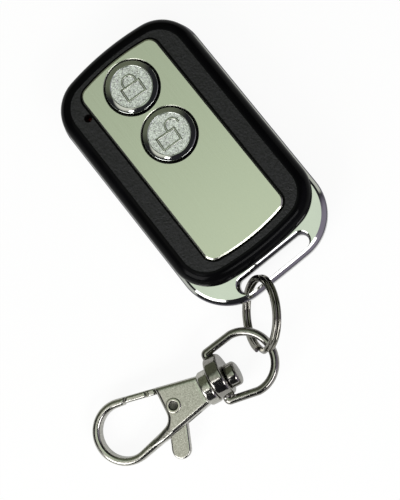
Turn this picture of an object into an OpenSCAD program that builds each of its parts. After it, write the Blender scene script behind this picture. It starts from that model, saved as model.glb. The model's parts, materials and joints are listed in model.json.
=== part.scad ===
// Alarm key fob: a two-button radio remote with a split ring and a swivel clasp.
// Millimetres. The origin is the centre of the rear face, +Z out of the front,
// +Y to the top end and -Y to the key-ring end.

/* [Case] */
// Width of the black shells where they meet the frame
case_w = 33.1; // [30:0.1:40]
// Length of the black shells where they meet the frame
case_l = 54.7; // [50:0.1:70]
// Corner radius of the shells
case_corner = 8.5; // [7:0.1:10]
// Radius of the slightly bowed ends of the shells
case_bow = 60; // [45:1:120]
// Height of the rear shell
rear_h = 3.5; // [3.2:0.1:5]
// Height of the front shell
front_h = 3.3; // [3.1:0.1:5]
// Width of the rolled edge of the shells
edge_w = 2.8; // [1.5:0.1:3]
// Thickness of the rear shell's floor
floor_t = 1.2; // [1:0.1:1.6]
// Thickness of the side walls
wall_t = 2.85; // [2.4:0.05:3.2]
// Thickness of the lips that locate the shells in the frame
lip_t = 1.1; // [0.8:0.05:1.3]
// Depth of the lips
lip_h = 1.2; // [0.6:0.1:1.4]
// Clearance between a lip and the frame
lip_gap = 0.1; // [0.05:0.01:0.2]

/* [Frame] */
// Thickness of the chrome frame
frame_h = 4.4; // [4:0.1:5]
// How far the frame stands proud of the shells
frame_proud = 0.55; // [0.3:0.05:1]
// How far the frame's side is rolled in at its edges
frame_roll = 0.4; // [0.2:0.05:0.5]
// Corner radius at the frame's lower end
frame_low_corner = 9.4; // [8:0.1:12]
// Length of the key-ring slot
slot_l = 17.6; // [15:0.1:20]
// Width of the key-ring slot
slot_w = 3.45; // [3.2:0.05:4.5]
// Web between the shells and the slot
slot_web = 0.65; // [0.4:0.05:1.5]
// Width of the rail outside the slot
rail_w = 1.2; // [1:0.05:1.3]

/* [Face plate] */
// Width of the face plate
plate_w = 19.65; // [17:0.05:22]
// Length of the face plate
plate_l = 46.3; // [42:0.1:47]
// Corner radius of the face plate
plate_corner = 2.4; // [1.5:0.1:4]
// Radius of the bowed ends of the face plate
plate_bow = 45; // [35:1:120]
// Thickness of the face plate
plate_t = 1.05; // [0.8:0.05:1.3]
// Radius of the face plate's rounded edge
plate_round = 0.4; // [0.2:0.05:0.6]
// Gap round the face plate in its recess
plate_gap = 0.55; // [0.3:0.05:0.8]
// Depth of the recess for the face plate
recess_d = 0.8; // [0.5:0.05:1]
// Thickness of the adhesive film under the face plate
film_t = 0.15; // [0.1:0.05:0.3]
// Thickness of the front shell under the recess
web_t = 1.2; // [0.9:0.1:1.4]

/* [Buttons] */
// Diameter of a button
button_d = 11.2; // [9:0.1:11.8]
// Distance from the face plate's top end to the lock button's centre
lock_end = 7; // [6.3:0.05:7.65]
// Distance between the buttons
button_pitch = 12.59; // [12.5:0.01:13]
// Running gap round a button
button_gap = 0.08; // [0.05:0.01:0.1]
// How far a button stands above the face plate
button_proud = 0.75; // [0.6:0.05:1.5]
// Travel of a button
button_travel = 0.25; // [0.15:0.01:0.3]
// Width of the polished bevel round a button's top
bevel_w = 1.3; // [0.8:0.1:2]
// Height of the polished bevel
bevel_h = 0.4; // [0.2:0.05:0.5]
// How far a button's flange reaches under the shell
flange_lip = 0.35; // [0.2:0.01:0.4]
// Thickness of a button's flange
flange_t = 0.7; // [0.5:0.05:0.8]
// Depth of the field that holds the sign
field_d = 0.12; // [0.08:0.01:0.3]
// Width of the lines of the signs
sign_line = 0.5; // [0.3:0.05:0.6]
// Width of a padlock sign's body
sign_w = 4.4; // [2:0.1:4.6]
// Height of a padlock sign's body
sign_h = 3; // [1.5:0.1:3.2]

/* [Circuit board] */
// Thickness of the circuit board
board_t = 1.0; // [0.8:0.1:1.2]
// Gap from the board's edge to the walls
board_gap = 0.3; // [0.2:0.05:0.6]
// Side of a switch housing
switch_w = 6; // [4.5:0.1:6.2]
// Height of a switch housing
switch_h = 1.35; // [1.2:0.05:1.5]
// Diameter of a switch plunger
plunger_d = 3.4; // [2:0.1:3.6]
// Diameter of the indicator hole
led_hole_d = 1.5; // [1.2:0.1:2]
// Diameter of the indicator lamp
led_d = 2.4; // [1.8:0.1:2.6]
// Distance from the case's side to the indicator
led_side = 5.55; // [5.35:0.05:5.95]
// Distance from the case's top end to the indicator
led_end = 10.2; // [9.95:0.05:10.85]
// Diameter of the resonator can
can_d = 8.2; // [6:0.1:9]
// Height of the resonator can
can_h = 2.4; // [1.5:0.1:2.6]
// Diameter of the aerial wire
aerial_d = 0.8; // [0.5:0.1:1]

/* [Battery] */
// Diameter of the coin cell
cell_d = 20; // [16:0.1:20]
// Thickness of the coin cell
cell_t = 3.2; // [2.5:0.1:3.2]
// Distance from the case's lower end to the cell's centre
cell_end = 18.35; // [17.85:0.05:19.85]
// Thickness of the contact strap
strap_t = 0.3; // [0.2:0.05:0.35]
// Width of the contact strap
strap_w = 6; // [4:0.1:9]

/* [Screws] */
// Diameter of a screw's shank
screw_d = 1.66; // [1.4:0.02:1.8]
// Diameter of a screw's head
head_d = 3.4; // [2.8:0.1:3.6]
// Thickness of a screw's head
head_t = 0.9; // [0.7:0.05:0.95]
// Diameter of the screw posts
post_d = 4; // [3.8:0.1:4.6]
// Distance from the case's sides to the screws
screw_side = 6.95; // [6.75:0.05:7.55]
// Distance from the case's ends to the screws
screw_end = 6.75; // [6.55:0.05:7.15]

/* [Key ring] */
// Outer diameter of the split ring
ring_d = 16; // [15:0.1:17]
// Radial width of the split ring's wire
ring_wire_w = 1.35; // [1:0.05:1.5]
// Axial thickness of one turn
ring_wire_t = 0.8; // [0.6:0.05:0.9]
// Gap between the two turns
ring_turn_gap = 0.06; // [0.04:0.01:0.12]
// Angle that the step between the turns takes
ring_step_angle = 40; // [30:1:60]
// Heading of the ring's axis
ring_heading = 146; // [140:1:150]
// Height of the ring's axis above the table, in degrees
ring_lean = 30.6; // [29:0.1:32]

/* [Swivel eye] */
// Diameter of the eye's round bar
eye_bar_d = 1.8; // [1.4:0.05:1.9]
// Radius of the eye's bow, to the middle of the bar
eye_bow_r = 6.35; // [6:0.05:7]
// Half width of the eye at its base, to the middle of the bar
eye_base_half = 5.2; // [4.8:0.05:5.3]
// Distance from the eye's base to the middle of its bow
eye_arm_l = 4.3; // [4:0.1:6]
// Diameter of the eye's round base
eye_base_d = 9; // [8:0.1:9.1]
// Thickness of the eye's round base
eye_base_t = 3.1; // [2:0.1:3.5]
// Sideways offset of the eye from its post
eye_offset = 1; // [0:0.1:1.2]
// Diameter of the swivel post
post_rod_d = 3; // [2.4:0.1:3.6]
// Diameter of the swivel post's head
rivet_head_d = 5.15; // [4.5:0.05:6]
// Thickness of the swivel post's head
rivet_head_t = 2.3; // [1.5:0.1:2.6]
// Running gap of the swivel
swivel_gap = 0.08; // [0.05:0.01:0.1]

/* [Clasp] */
// Diameter of the collar
collar_d = 7.4; // [6.5:0.1:8]
// Thickness of the collar
collar_t = 2.4; // [1.8:0.1:3]
// Distance from the gate pin to the collar
collar_x = 6.8; // [6.4:0.1:8]
// Thickness of the clasp's body
body_t = 4.6; // [4:0.1:5]
// Half width of the body at the collar
body_end_half = 2.85; // [2.4:0.05:3.2]
// Distance from the gate pin to the body's inner edge
body_back = 2.2; // [2:0.05:2.6]
// Outer radius of the hook
hook_r = 7; // [6.6:0.05:7.4]
// Distance from the gate pin to the middle of the hook
hook_x = 12.3; // [11.8:0.1:13]
// Width of the hook's bar
hook_bar = 1.8; // [1.5:0.05:2]
// Thickness of the hook's bar
hook_t = 3.2; // [2.6:0.1:3.3]
// Thickness of the gate and its lever
gate_t = 1.6; // [1.2:0.05:1.8]
// Gap on each side of the gate in its slot
gate_gap = 0.1; // [0.06:0.01:0.15]
// Width of the gate's bar
gate_w = 1.4; // [1.1:0.05:1.6]
// Distance from the gate pin to the gate's tip
gate_reach = 10.85; // [10.4:0.05:10.9]
// Distance from the gate pin to the middle of the lever's round end
lever_reach = 9.15; // [8:0.05:10]
// Width of the lever
lever_w = 4; // [3:0.1:4.2]
// Diameter of the gate pin
pin_d = 2; // [1.6:0.1:2.2]
// Diameter of the gate pin's heads
pin_head_d = 3.2; // [2.8:0.1:3.6]
// Wire diameter of the gate spring
spring_wire = 0.25; // [0.15:0.01:0.3]
// Outer diameter of the gate spring
spring_d = 1.5; // [1.2:0.05:1.7]

/* [Hidden] */

$fn = 64;
// Overshoot of cuts past the faces that they open
cut = 1;
// Segments of a corner arc, of a bowed end and of a rolled edge
corner_n = 10;
end_n = 8;
roll_n = 6;

// Levels
frame_z = rear_h;
front_z = frame_z + frame_h;
top_z = front_z + front_h;
recess_z = top_z - recess_d;
web_z = recess_z - web_t;
plate_z = recess_z + film_t;
plate_top = plate_z + plate_t;
button_top = plate_top + button_proud;

// Outlines of the case, all concentric with the shells' outline
opening_inset = wall_t - lip_t - lip_gap;
lip_inset = wall_t - lip_t;
board_inset = wall_t + board_gap;

// Frame and slot
slot_top = -(case_l / 2 + slot_web);
slot_y = slot_top - slot_w / 2;
rail_in = slot_top - slot_w;
rail_out = rail_in - rail_w;
frame_low_bow = 400;

// Buttons
button_r = button_d / 2;
hole_r = button_r + button_gap;
flange_r = button_r + flange_lip;
flange_z = web_z - flange_t - button_gap;
field_r = button_r - bevel_w;
lock_y = plate_l / 2 - lock_end;
unlock_y = lock_y - button_pitch;

// Board, switches and battery stack, from the rear shell's floor up
strap_gap = 0.1;
strap_z = floor_t + strap_gap;
cell_z = strap_z + strap_t;
contact_t = 0.4;
contact_d = 9;
board_z = cell_z + cell_t + contact_t;
board_top = board_z + board_t;
plunger_gap = 0.05;
plunger_rise = 0.5;
plunger_top = board_top + switch_h + plunger_rise;
well_floor = 0.1;
plunger_seat = board_top + well_floor + plunger_gap + button_travel;
led_gap = 0.3;
led_rim = 0.3;
led_h = web_z - board_top - led_gap;
led_x = case_w / 2 - led_side;
led_y = case_l / 2 - led_end;
cell_y = case_l / 2 - cell_end;
clip_gap = 0.25;
clip_half = cell_d / 2 + clip_gap;
clip_foot = 1.6;

// Screws
screw_x = case_w / 2 - screw_side;
screw_y = case_l / 2 - screw_end;
head_gap = 0.15;
bore_gap = 0.02;
shank_gap = 0.25;
tip_room = 0.2;
tip_cover = 0.5;
screw_tip = web_z - tip_cover;
head_sink = 0.05;
head_seat = head_t + head_sink;

// Layout of the board: the aerial round its lower half and the parts inside the loop
aerial_lap = 0.25;
aerial_half = clip_half + clip_foot - aerial_lap;
aerial_bend = 3;
aerial_clear = 3.4;
aerial_low = aerial_clear - screw_y;
aerial_top = 1.5;
can_x = 5.2;
can_up = 5.7;
can_y = aerial_low + can_up;
can_rim = 0.4;
chip_x = -6.2;
chip_up = 2.2;
chip_y = can_y + chip_up;
parts_gap = 2.2;
parts_y = unlock_y - switch_w / 2 - parts_gap;
transistor_x = 6.5;
passive_x = -8.6;
passive_l = 2;
passive_w = 1.25;
passive_h = 0.6;
passive_pitch = 2.7;
passive_up = 2;
passive_low = aerial_low + passive_up;

// Key ring: its axis, its centre, and the point of it that the eye hangs on
ring_r = ring_d / 2;
ring_mid_r = ring_r - ring_wire_w / 2;
ring_pitch = ring_wire_t + ring_turn_gap;
ring_stack = ring_pitch + ring_wire_t;
ring_rest = 0.05;
ring_rise = ring_r * cos(ring_lean) + ring_stack / 2 * sin(ring_lean) + ring_rest;
ring_far = [sin(ring_heading), -cos(ring_heading)];
ring_reach = 1.42;
ring_x = -8.4;
ring_c = [ring_x, rail_in + ring_reach - ring_mid_r * ring_far[1], ring_rise];
ring_near = [ring_c[0] - ring_mid_r * ring_far[0], ring_c[1] - ring_mid_r * ring_far[1]];

// Clasp: its own x runs along the swivel axis, its own z out of its broad face
clasp_heading = -10.7;
clasp_rise = 5.5;
eye_x = collar_x + collar_t + swivel_gap;
eye_root = 0.15;
eye_arm_x = eye_x + eye_root;
eye_bow_x = eye_x + eye_base_t + eye_arm_l;
eye_far = eye_bow_x + eye_bow_r;
eye_sides = 14;
eye_lap_x = 1.33;
eye_lap_y = -0.43;
axis_plan = cos(clasp_rise) * [cos(clasp_heading), sin(clasp_heading)];
side_plan = [-sin(clasp_heading), cos(clasp_heading)];
clasp_xy = ring_near + [eye_lap_x, eye_lap_y] - eye_far * axis_plan - eye_offset * side_plan;
clasp_rest = 0.05;
hook_lift = (hook_x + hook_r) * sin(clasp_rise) + hook_t / 2 * cos(clasp_rise);
base_lift = eye_base_d / 2 * cos(clasp_rise) - eye_x * sin(clasp_rise);
clasp_z = max(hook_lift, base_lift) + clasp_rest;
clasp_at = [clasp_xy[0], clasp_xy[1], clasp_z];
clasp_turn = [0, -clasp_rise, clasp_heading];

// Gate
tip_gap = 0.13;
hook_flare = 1.2;
hook_fillet = 2.6;
post_root = 0.9;
gate_slot_t = gate_t + 2 * gate_gap;
lever_dir = 249.5;
hub_r = 2.2;
pin_gap = 0.05;
gate_slot_right = 4;
gate_slot_left = 4.7;
spring_y = -2;
spring_gap = 0.08;
spring_turns = 5;
spring_pitch = 0.68;
spring_seat = 5.6;
part_gap = 0.02;

// Points along an arc
function arc(c, r, a0, a1, n) =
    [for (i = [0 : n]) c + r * [cos(a0 + (a1 - a0) * i / n), sin(a0 + (a1 - a0) * i / n)]];

// The same without its two end points
function arc_inner(c, r, a0, a1, n) =
    [for (i = [1 : n - 1]) c + r * [cos(a0 + (a1 - a0) * i / n), sin(a0 + (a1 - a0) * i / n)]];

// Height of a corner's centre below a bowed end, and the angle where the two arcs meet
function bow_rise(hw, r, bow) = sqrt(pow(bow - r, 2) - pow(hw - r, 2));
function bow_angle(hw, r, bow) = atan2(bow_rise(hw, r, bow), hw - r);

// Outline with straight sides, round corners and bowed ends, drawn in by d all round
function outline(hw, top, rt, bt, low, rl, bl, d) =
    let (kt = top - bt + bow_rise(hw, rt, bt), at = bow_angle(hw, rt, bt))
    let (kl = low - bl + bow_rise(hw, rl, bl), al = bow_angle(hw, rl, bl))
    concat(
        arc([hw - rt, kt], rt - d, 0, at, corner_n),
        arc_inner([0, top - bt], bt - d, at, 180 - at, end_n),
        arc([rt - hw, kt], rt - d, 180 - at, 180, corner_n),
        arc([rl - hw, -kl], rl - d, 180, 180 + al, corner_n),
        arc_inner([0, bl - low], bl - d, 180 + al, 360 - al, end_n),
        arc([hw - rl, -kl], rl - d, 360 - al, 360, corner_n));

function case_pts(d) =
    outline(case_w / 2, case_l / 2, case_corner, case_bow,
        case_l / 2, case_corner, case_bow, d);
function frame_pts(d) =
    outline(case_w / 2 + frame_proud, case_l / 2 + frame_proud, case_corner + frame_proud,
        case_bow + frame_proud, -rail_out, frame_low_corner, frame_low_bow, d);
function plate_pts(d) =
    outline(plate_w / 2, plate_l / 2, plate_corner, plate_bow,
        plate_l / 2, plate_corner, plate_bow, d);

// Points of an outline at a height
function level(pts, z) = [for (p = pts) [p[0], p[1], z]];

// Solid through a stack of outlines with equal counts of points
module loft(stack) {
    n = len(stack[0]);
    m = len(stack);
    sides = [for (k = [0 : m - 2]) for (i = [0 : n - 1]) let (j = (i + 1) % n)
        each [[k * n + i, (k + 1) * n + i, k * n + j],
            [k * n + j, (k + 1) * n + i, (k + 1) * n + j]]];
    low = [for (i = [0 : n - 1]) i];
    high = [for (i = [0 : n - 1]) m * n - 1 - i];
    polyhedron([for (s = stack) each s], concat([low], sides, [high]), convexity = 4);
}

// Plain prism with a case outline drawn in by d
module case_prism(d, z0, z1) {
    translate([0, 0, z0]) linear_extrude(z1 - z0) polygon(case_pts(d));
}

// One child at each screw
module at_screws() {
    for (sx = [-1, 1]) for (sy = [-1, 1])
        translate([sx * screw_x, sy * screw_y, 0]) children();
}

// Rear half of the case
module rear_shell() {
    color("#1a1a1b")
    difference() {
        union() {
            difference() {
                loft([for (i = [0 : roll_n]) let (a = 90 * i / roll_n)
                    level(case_pts(edge_w * (1 - sin(a))), rear_h * (1 - cos(a)))]);
                case_prism(wall_t, floor_t, rear_h + cut);
            }
            difference() {
                case_prism(lip_inset, floor_t, frame_z + lip_h);
                case_prism(wall_t, floor_t - cut, frame_z + lip_h + cut);
            }
            at_screws() translate([0, 0, floor_t]) cylinder(d = post_d, h = board_z - floor_t);
        }
        at_screws() {
            translate([0, 0, -cut]) cylinder(d = screw_d + 2 * shank_gap, h = board_z + 2 * cut);
            translate([0, 0, -cut]) cylinder(d = head_d + 2 * head_gap, h = cut + head_seat);
        }
    }
}

// Chrome frame round the waist, with the key-ring slot
module middle_frame() {
    color("#c9cdcb")
    difference() {
        loft([for (i = [0 : roll_n]) let (a = -90 + 180 * i / roll_n)
            level(frame_pts(frame_roll * (1 - cos(a))), frame_z + frame_h / 2 * (1 + sin(a)))]);
        case_prism(opening_inset, frame_z - cut, front_z + cut);
        translate([0, slot_y, frame_z - cut]) {
            translate([(slot_w - slot_l) / 2, -slot_w / 2, 0])
                cube([slot_l - slot_w, slot_w, frame_h + 2 * cut]);
            for (s = [-1, 1]) translate([s * (slot_l - slot_w) / 2, 0, 0])
                cylinder(d = slot_w, h = frame_h + 2 * cut);
        }
    }
}

// Front half of the case, with the recess for the face plate
module front_shell() {
    color("#1c1c1e")
    difference() {
        union() {
            difference() {
                loft([for (i = [0 : roll_n]) let (a = 90 * i / roll_n)
                    level(case_pts(edge_w * (1 - cos(a))), front_z + front_h * sin(a))]);
                case_prism(wall_t, front_z - cut, web_z);
            }
            difference() {
                case_prism(lip_inset, front_z - lip_h, web_z);
                case_prism(wall_t, front_z - lip_h - cut, web_z + cut);
            }
            at_screws() translate([0, 0, board_top]) cylinder(d = post_d, h = web_z - board_top);
        }
        translate([0, 0, recess_z]) linear_extrude(recess_d + cut) polygon(plate_pts(-plate_gap));
        for (y = [lock_y, unlock_y]) translate([0, y, web_z - cut])
            cylinder(r = hole_r, h = web_t + 2 * cut);
        translate([-led_x, led_y, web_z - cut]) cylinder(d = led_hole_d, h = top_z - web_z + 2 * cut);
        at_screws() translate([0, 0, board_top - cut])
            cylinder(d = screw_d + 2 * bore_gap, h = screw_tip + tip_room - board_top + cut);
    }
}

// Adhesive film under the face plate
module plate_adhesive() {
    color("#d8d6cc")
    difference() {
        translate([0, 0, recess_z]) linear_extrude(film_t) polygon(plate_pts(plate_round));
        for (y = [lock_y, unlock_y]) translate([0, y, recess_z - cut])
            cylinder(r = hole_r + 2 * button_gap, h = film_t + 2 * cut);
    }
}

// Satin metal face plate
module face_plate() {
    color("#a9b3a4")
    difference() {
        loft(concat([level(plate_pts(0), plate_z)],
            [for (i = [0 : 3]) let (a = 90 * i / 3)
                level(plate_pts(plate_round * (1 - cos(a))),
                    plate_top - plate_round * (1 - sin(a)))]));
        for (y = [lock_y, unlock_y]) translate([0, y, plate_z - cut])
            cylinder(r = hole_r, h = plate_t + 2 * cut);
    }
}

// Turned button with a polished bevel, a sunk field and a foot for the switch
module button_blank() {
    shoulder = button_top - bevel_h;
    rotate_extrude() polygon([
        [0, plunger_top], [plunger_d / 2, plunger_top], [plunger_d / 2, flange_z], [flange_r, flange_z],
        [flange_r, flange_z + flange_t], [button_r, flange_z + flange_t], [button_r, shoulder],
        [field_r, button_top], [field_r - field_d, button_top - field_d],
        [0, button_top - field_d]]);
}

// Raised padlock sign, with its shackle shut or swung open to one side
module padlock_sign(open) {
    shackle_r = sign_w * 0.37;
    body_y = -sign_h * 0.72;
    shackle_y = body_y + sign_h + shackle_r * 0.2;
    shift = open ? sign_w * 0.48 : 0;
    translate([open ? -sign_w * 0.14 : 0, 0, button_top - field_d]) linear_extrude(field_d) {
        difference() {
            translate([-sign_w / 2, body_y]) square([sign_w, sign_h]);
            translate([sign_line - sign_w / 2, body_y + sign_line])
                square([sign_w - 2 * sign_line, sign_h - 2 * sign_line]);
        }
        translate([shift, shackle_y]) difference() {
            circle(r = shackle_r);
            circle(r = shackle_r - sign_line);
            translate([-sign_w, -sign_w]) square([2 * sign_w, sign_w]);
        }
        for (s = [-1, 1]) {
            leg = open && s > 0 ? sign_line : shackle_y - body_y - sign_h + sign_line;
            translate([shift + s * (shackle_r - sign_line / 2) - sign_line / 2, shackle_y - leg])
                square([sign_line, leg]);
        }
    }
}

// Button that arms the alarm
module lock_button() {
    color("#9da19d") translate([0, lock_y, 0]) {
        button_blank();
        padlock_sign(false);
    }
}

// Button that disarms the alarm
module unlock_button() {
    color("#9da19d") translate([0, unlock_y, 0]) {
        button_blank();
        padlock_sign(true);
    }
}

// Housing of a tact switch, with a well for its plunger
module switch_housing(y) {
    difference() {
        translate([-switch_w / 2, y - switch_w / 2, board_top]) cube([switch_w, switch_w, switch_h]);
        translate([0, y, board_top + well_floor])
            cylinder(d = plunger_d + 2 * plunger_gap, h = switch_h + cut);
    }
}

// Plunger of a tact switch
module switch_plunger(y) {
    translate([0, y, plunger_seat]) cylinder(d = plunger_d, h = plunger_top - plunger_seat);
}

module lock_switch() { color("#2b2b2d") switch_housing(lock_y); }
module unlock_switch() { color("#2b2b2d") switch_housing(unlock_y); }
module lock_plunger() { color("#7a2a20") switch_plunger(lock_y); }
module unlock_plunger() { color("#7a2a20") switch_plunger(unlock_y); }

// Circuit board, clamped between the posts of the two shells
module circuit_board() {
    color("#2f6a3f")
    difference() {
        case_prism(board_inset, board_z, board_top);
        at_screws() translate([0, 0, board_z - cut])
            cylinder(d = screw_d + 2 * shank_gap, h = board_t + 2 * cut);
    }
}

// Indicator lamp under its hole
module status_led() {
    flange_rise = 0.6;
    dome_r = led_d / 2 - led_rim;
    color("#b3202a") translate([-led_x, led_y, board_top]) {
        cylinder(d = led_d, h = flange_rise);
        cylinder(r = dome_r, h = led_h - dome_r);
        translate([0, 0, led_h - dome_r]) sphere(r = dome_r);
    }
}

// Code chip in an eight-lead package
module encoder_chip() {
    body = [3.9, 4.9, 1.4];
    lead = [1.05, 0.42, 0.2];
    shoulder = [0.2, 0.42, 0.9];
    standoff = 0.15;
    lead_pitch = 1.27;
    color("#232325") translate([chip_x, chip_y, board_top]) {
        translate([-body[0] / 2, -body[1] / 2, standoff]) cube(body);
        for (s = [-1, 1]) for (i = [-1.5 : 1.5]) for (b = [lead, shoulder])
            translate([s * (body[0] + b[0]) / 2 - b[0] / 2, i * lead_pitch - b[1] / 2, 0]) cube(b);
    }
}

// Resonator in a round metal can
module saw_resonator() {
    color("#b9bab6") translate([can_x, can_y, board_top]) {
        cylinder(d = can_d, h = can_rim);
        cylinder(d = can_d - 2 * can_rim, h = can_h);
    }
}

// Transmitter transistor in a three-lead package
module rf_transistor() {
    body = [2.9, 1.3, 1.0];
    lead = [0.4, 0.6, 0.3];
    lead_pitch = 0.95;
    color("#29292b") translate([transistor_x, parts_y, board_top]) {
        translate([-body[0] / 2, -body[1] / 2, 0]) cube(body);
        for (i = [-1 : 1]) translate([i * lead_pitch - lead[0] / 2,
            i == 0 ? body[1] / 2 : -body[1] / 2 - lead[1], 0]) cube(lead);
    }
}

// Chip resistors and capacitors in two rows
module chip_components() {
    color("#8d7a5c") for (y = [parts_y, passive_low]) for (i = [0 : 3])
        translate([passive_x + passive_pitch * i - passive_l / 2, y - passive_w / 2, board_top])
            cube([passive_l, passive_w, passive_h]);
}

// Wire aerial bent round the lower half of the board
module antenna_loop() {
    run = aerial_half - aerial_bend;
    leg = aerial_low + aerial_bend;
    color("#c98e5a") translate([0, 0, board_top + aerial_d / 2]) {
        for (s = [-1, 1]) {
            translate([s * aerial_half, leg, 0]) rotate([-90, 0, 0])
                cylinder(d = aerial_d, h = aerial_top - leg);
            translate([s * run, leg, 0]) rotate([0, 0, s > 0 ? -90 : 180])
                rotate_extrude(angle = 90) translate([aerial_bend, 0]) circle(d = aerial_d);
        }
        translate([-run, aerial_low, 0]) rotate([0, 90, 0]) cylinder(d = aerial_d, h = 2 * run);
    }
}

// Coin cell under the board, with its stepped rim
module coin_cell() {
    step = 0.5;
    step_w = 1.2;
    color("#bfc1c0") translate([0, -cell_y, cell_z]) {
        cylinder(d = cell_d, h = cell_t - step);
        cylinder(d = cell_d - 2 * step_w, h = cell_t);
    }
}

// Positive contact: a strap round the cell, soldered to the board by its feet
module battery_clip() {
    reach = clip_half + strap_t;
    color("#d0cfc4") translate([0, -cell_y - strap_w / 2, 0]) {
        translate([-reach, 0, strap_z]) cube([2 * reach, strap_w, strap_t]);
        for (s = [-1, 1]) {
            translate([s * (clip_half + strap_t / 2) - strap_t / 2, 0, strap_z])
                cube([strap_t, strap_w, board_z - strap_z]);
            translate([s * (clip_half + clip_foot / 2) - clip_foot / 2, 0, board_z - strap_t])
                cube([clip_foot, strap_w, strap_t]);
        }
    }
}

// Negative contact leaf between the cell and the board
module battery_contact() {
    color("#c8c7bd") translate([0, -cell_y, board_z - contact_t])
        cylinder(d = contact_d, h = contact_t);
}

// Self-tapping screws from the rear, one solid each
module case_screws() {
    drive_w = 1.2;
    drive_t = 0.35;
    drive_d = 0.45;
    color("#55565a") at_screws() difference() {
        union() {
            translate([0, 0, head_seat - head_t]) cylinder(d = head_d, h = head_t);
            cylinder(d = screw_d, h = screw_tip);
        }
        for (a = [0, 90]) rotate([0, 0, a])
            translate([-drive_w, -drive_t / 2, -cut]) cube([2 * drive_w, drive_t, cut + drive_d]);
    }
}

// Split ring: the wire's path in turns, with one step from turn to turn
function ring_lift(a) =
    let (u = min(max((a - 360 - 180 + ring_step_angle / 2) / ring_step_angle, 0), 1))
    ring_pitch / 2 - ring_pitch * u * u * (3 - 2 * u);
function ring_section(a) =
    [for (p = [[-1, -0.6], [-0.75, -1], [0.75, -1], [1, -0.6], [1, 0.6], [0.75, 1], [-0.75, 1],
        [-1, 0.6]])
        let (r = ring_mid_r + p[0] * ring_wire_w / 2)
        [r * cos(270 - a), r * sin(270 - a), ring_lift(a) + p[1] * ring_wire_t / 2]];

// Two-turn split key ring
module split_ring() {
    first = 180 + ring_step_angle / 2;
    last = first + 720 - ring_step_angle;
    steps = 84;
    color("#8f8d80") translate(ring_c) rotate([0, 90 - ring_lean, ring_heading])
        loft([for (i = [0 : steps]) ring_section(first + (last - first) * i / steps)]);
}

// Places a child in the clasp's own frame
module in_clasp() {
    translate(clasp_at) rotate(clasp_turn) children();
}

// Cylinder along the clasp's axis
module along_axis(x0, x1, d) {
    translate([x0, 0, 0]) rotate([0, 90, 0]) cylinder(d = d, h = x1 - x0);
}

// Round section of the eye's bar at a point, facing out along a direction
function eye_section(p, out) =
    [for (k = [0 : eye_sides - 1]) let (b = -360 * k / eye_sides, q = eye_bar_d / 2)
        [p[0] + q * cos(b) * out[0], p[1] + q * cos(b) * out[1], q * sin(b)]];

// D-shaped eye on its round base
module swivel_eye() {
    bow_n = 24;
    color("#9a988b") in_clasp() difference() {
        translate([0, eye_offset, 0]) {
            along_axis(eye_x, eye_x + eye_base_t, eye_base_d);
            loft(concat([eye_section([eye_arm_x, -eye_base_half], [0, -1])],
                [for (i = [0 : bow_n]) let (a = -90 + 180 * i / bow_n, out = [cos(a), sin(a)])
                    eye_section([eye_bow_x, 0] + eye_bow_r * out, out)],
                [eye_section([eye_arm_x, eye_base_half], [0, 1])]));
        }
        along_axis(eye_x - cut, eye_x + eye_base_t + cut, post_rod_d + 2 * swivel_gap);
    }
}

// Headed post on which the eye turns
module swivel_rivet() {
    head_x = eye_x + eye_base_t + swivel_gap;
    root_x = collar_x - post_root;
    dome = 0.5;
    color("#a3a196") in_clasp() {
        along_axis(root_x, head_x + dome, post_rod_d);
        along_axis(head_x, head_x + rivet_head_t - dome, rivet_head_d);
        translate([head_x + rivet_head_t - dome, 0, 0]) rotate([0, 90, 0])
            cylinder(d1 = rivet_head_d, d2 = rivet_head_d - 2 * dome, h = dome);
    }
}

// Points where the tangents from a point touch a circle, on one side
function tangent(c, r, p) =
    let (v = p - c, l = norm(v), a = atan2(v[1], v[0]) + acos(r / l))
    c + r * [cos(a), sin(a)];

// Drop shape: a round hook end that tapers to the collar
module drop(r, half) {
    c = [-hook_x, 0];
    end = [collar_x + collar_t / 2, half];
    t = tangent(c, r, end);
    translate(c) circle(r = r);
    polygon([t, end, [end[0], -end[1]], [t[0], -t[1]], [-hook_x, 0]]);
}

// Inside of the hook, up to the body's edge, with a round lower corner
module hook_inside() {
    r = hook_r - hook_bar;
    half = body_end_half - hook_bar + hook_flare;
    end = [collar_x + collar_t / 2, half];
    t = tangent([-hook_x, 0], r, end);
    slope = (t[1] - half) / (end[0] - t[0]);
    slant = sqrt(1 + slope * slope);
    c_x = -body_back - hook_fillet;
    c = [c_x, hook_fillet * slant - half - slope * (end[0] - c_x)];
    touch_x = c_x + hook_fillet * slope / slant;
    far = 2 * hook_r;
    intersection() {
        drop(r, half);
        union() {
            translate([-hook_x - far, -far]) square([touch_x + hook_x + far, 2 * far]);
            translate([-hook_x, c[1]]) square([hook_x - body_back, far]);
            translate(c) circle(r = hook_fillet);
        }
    }
}

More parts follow.
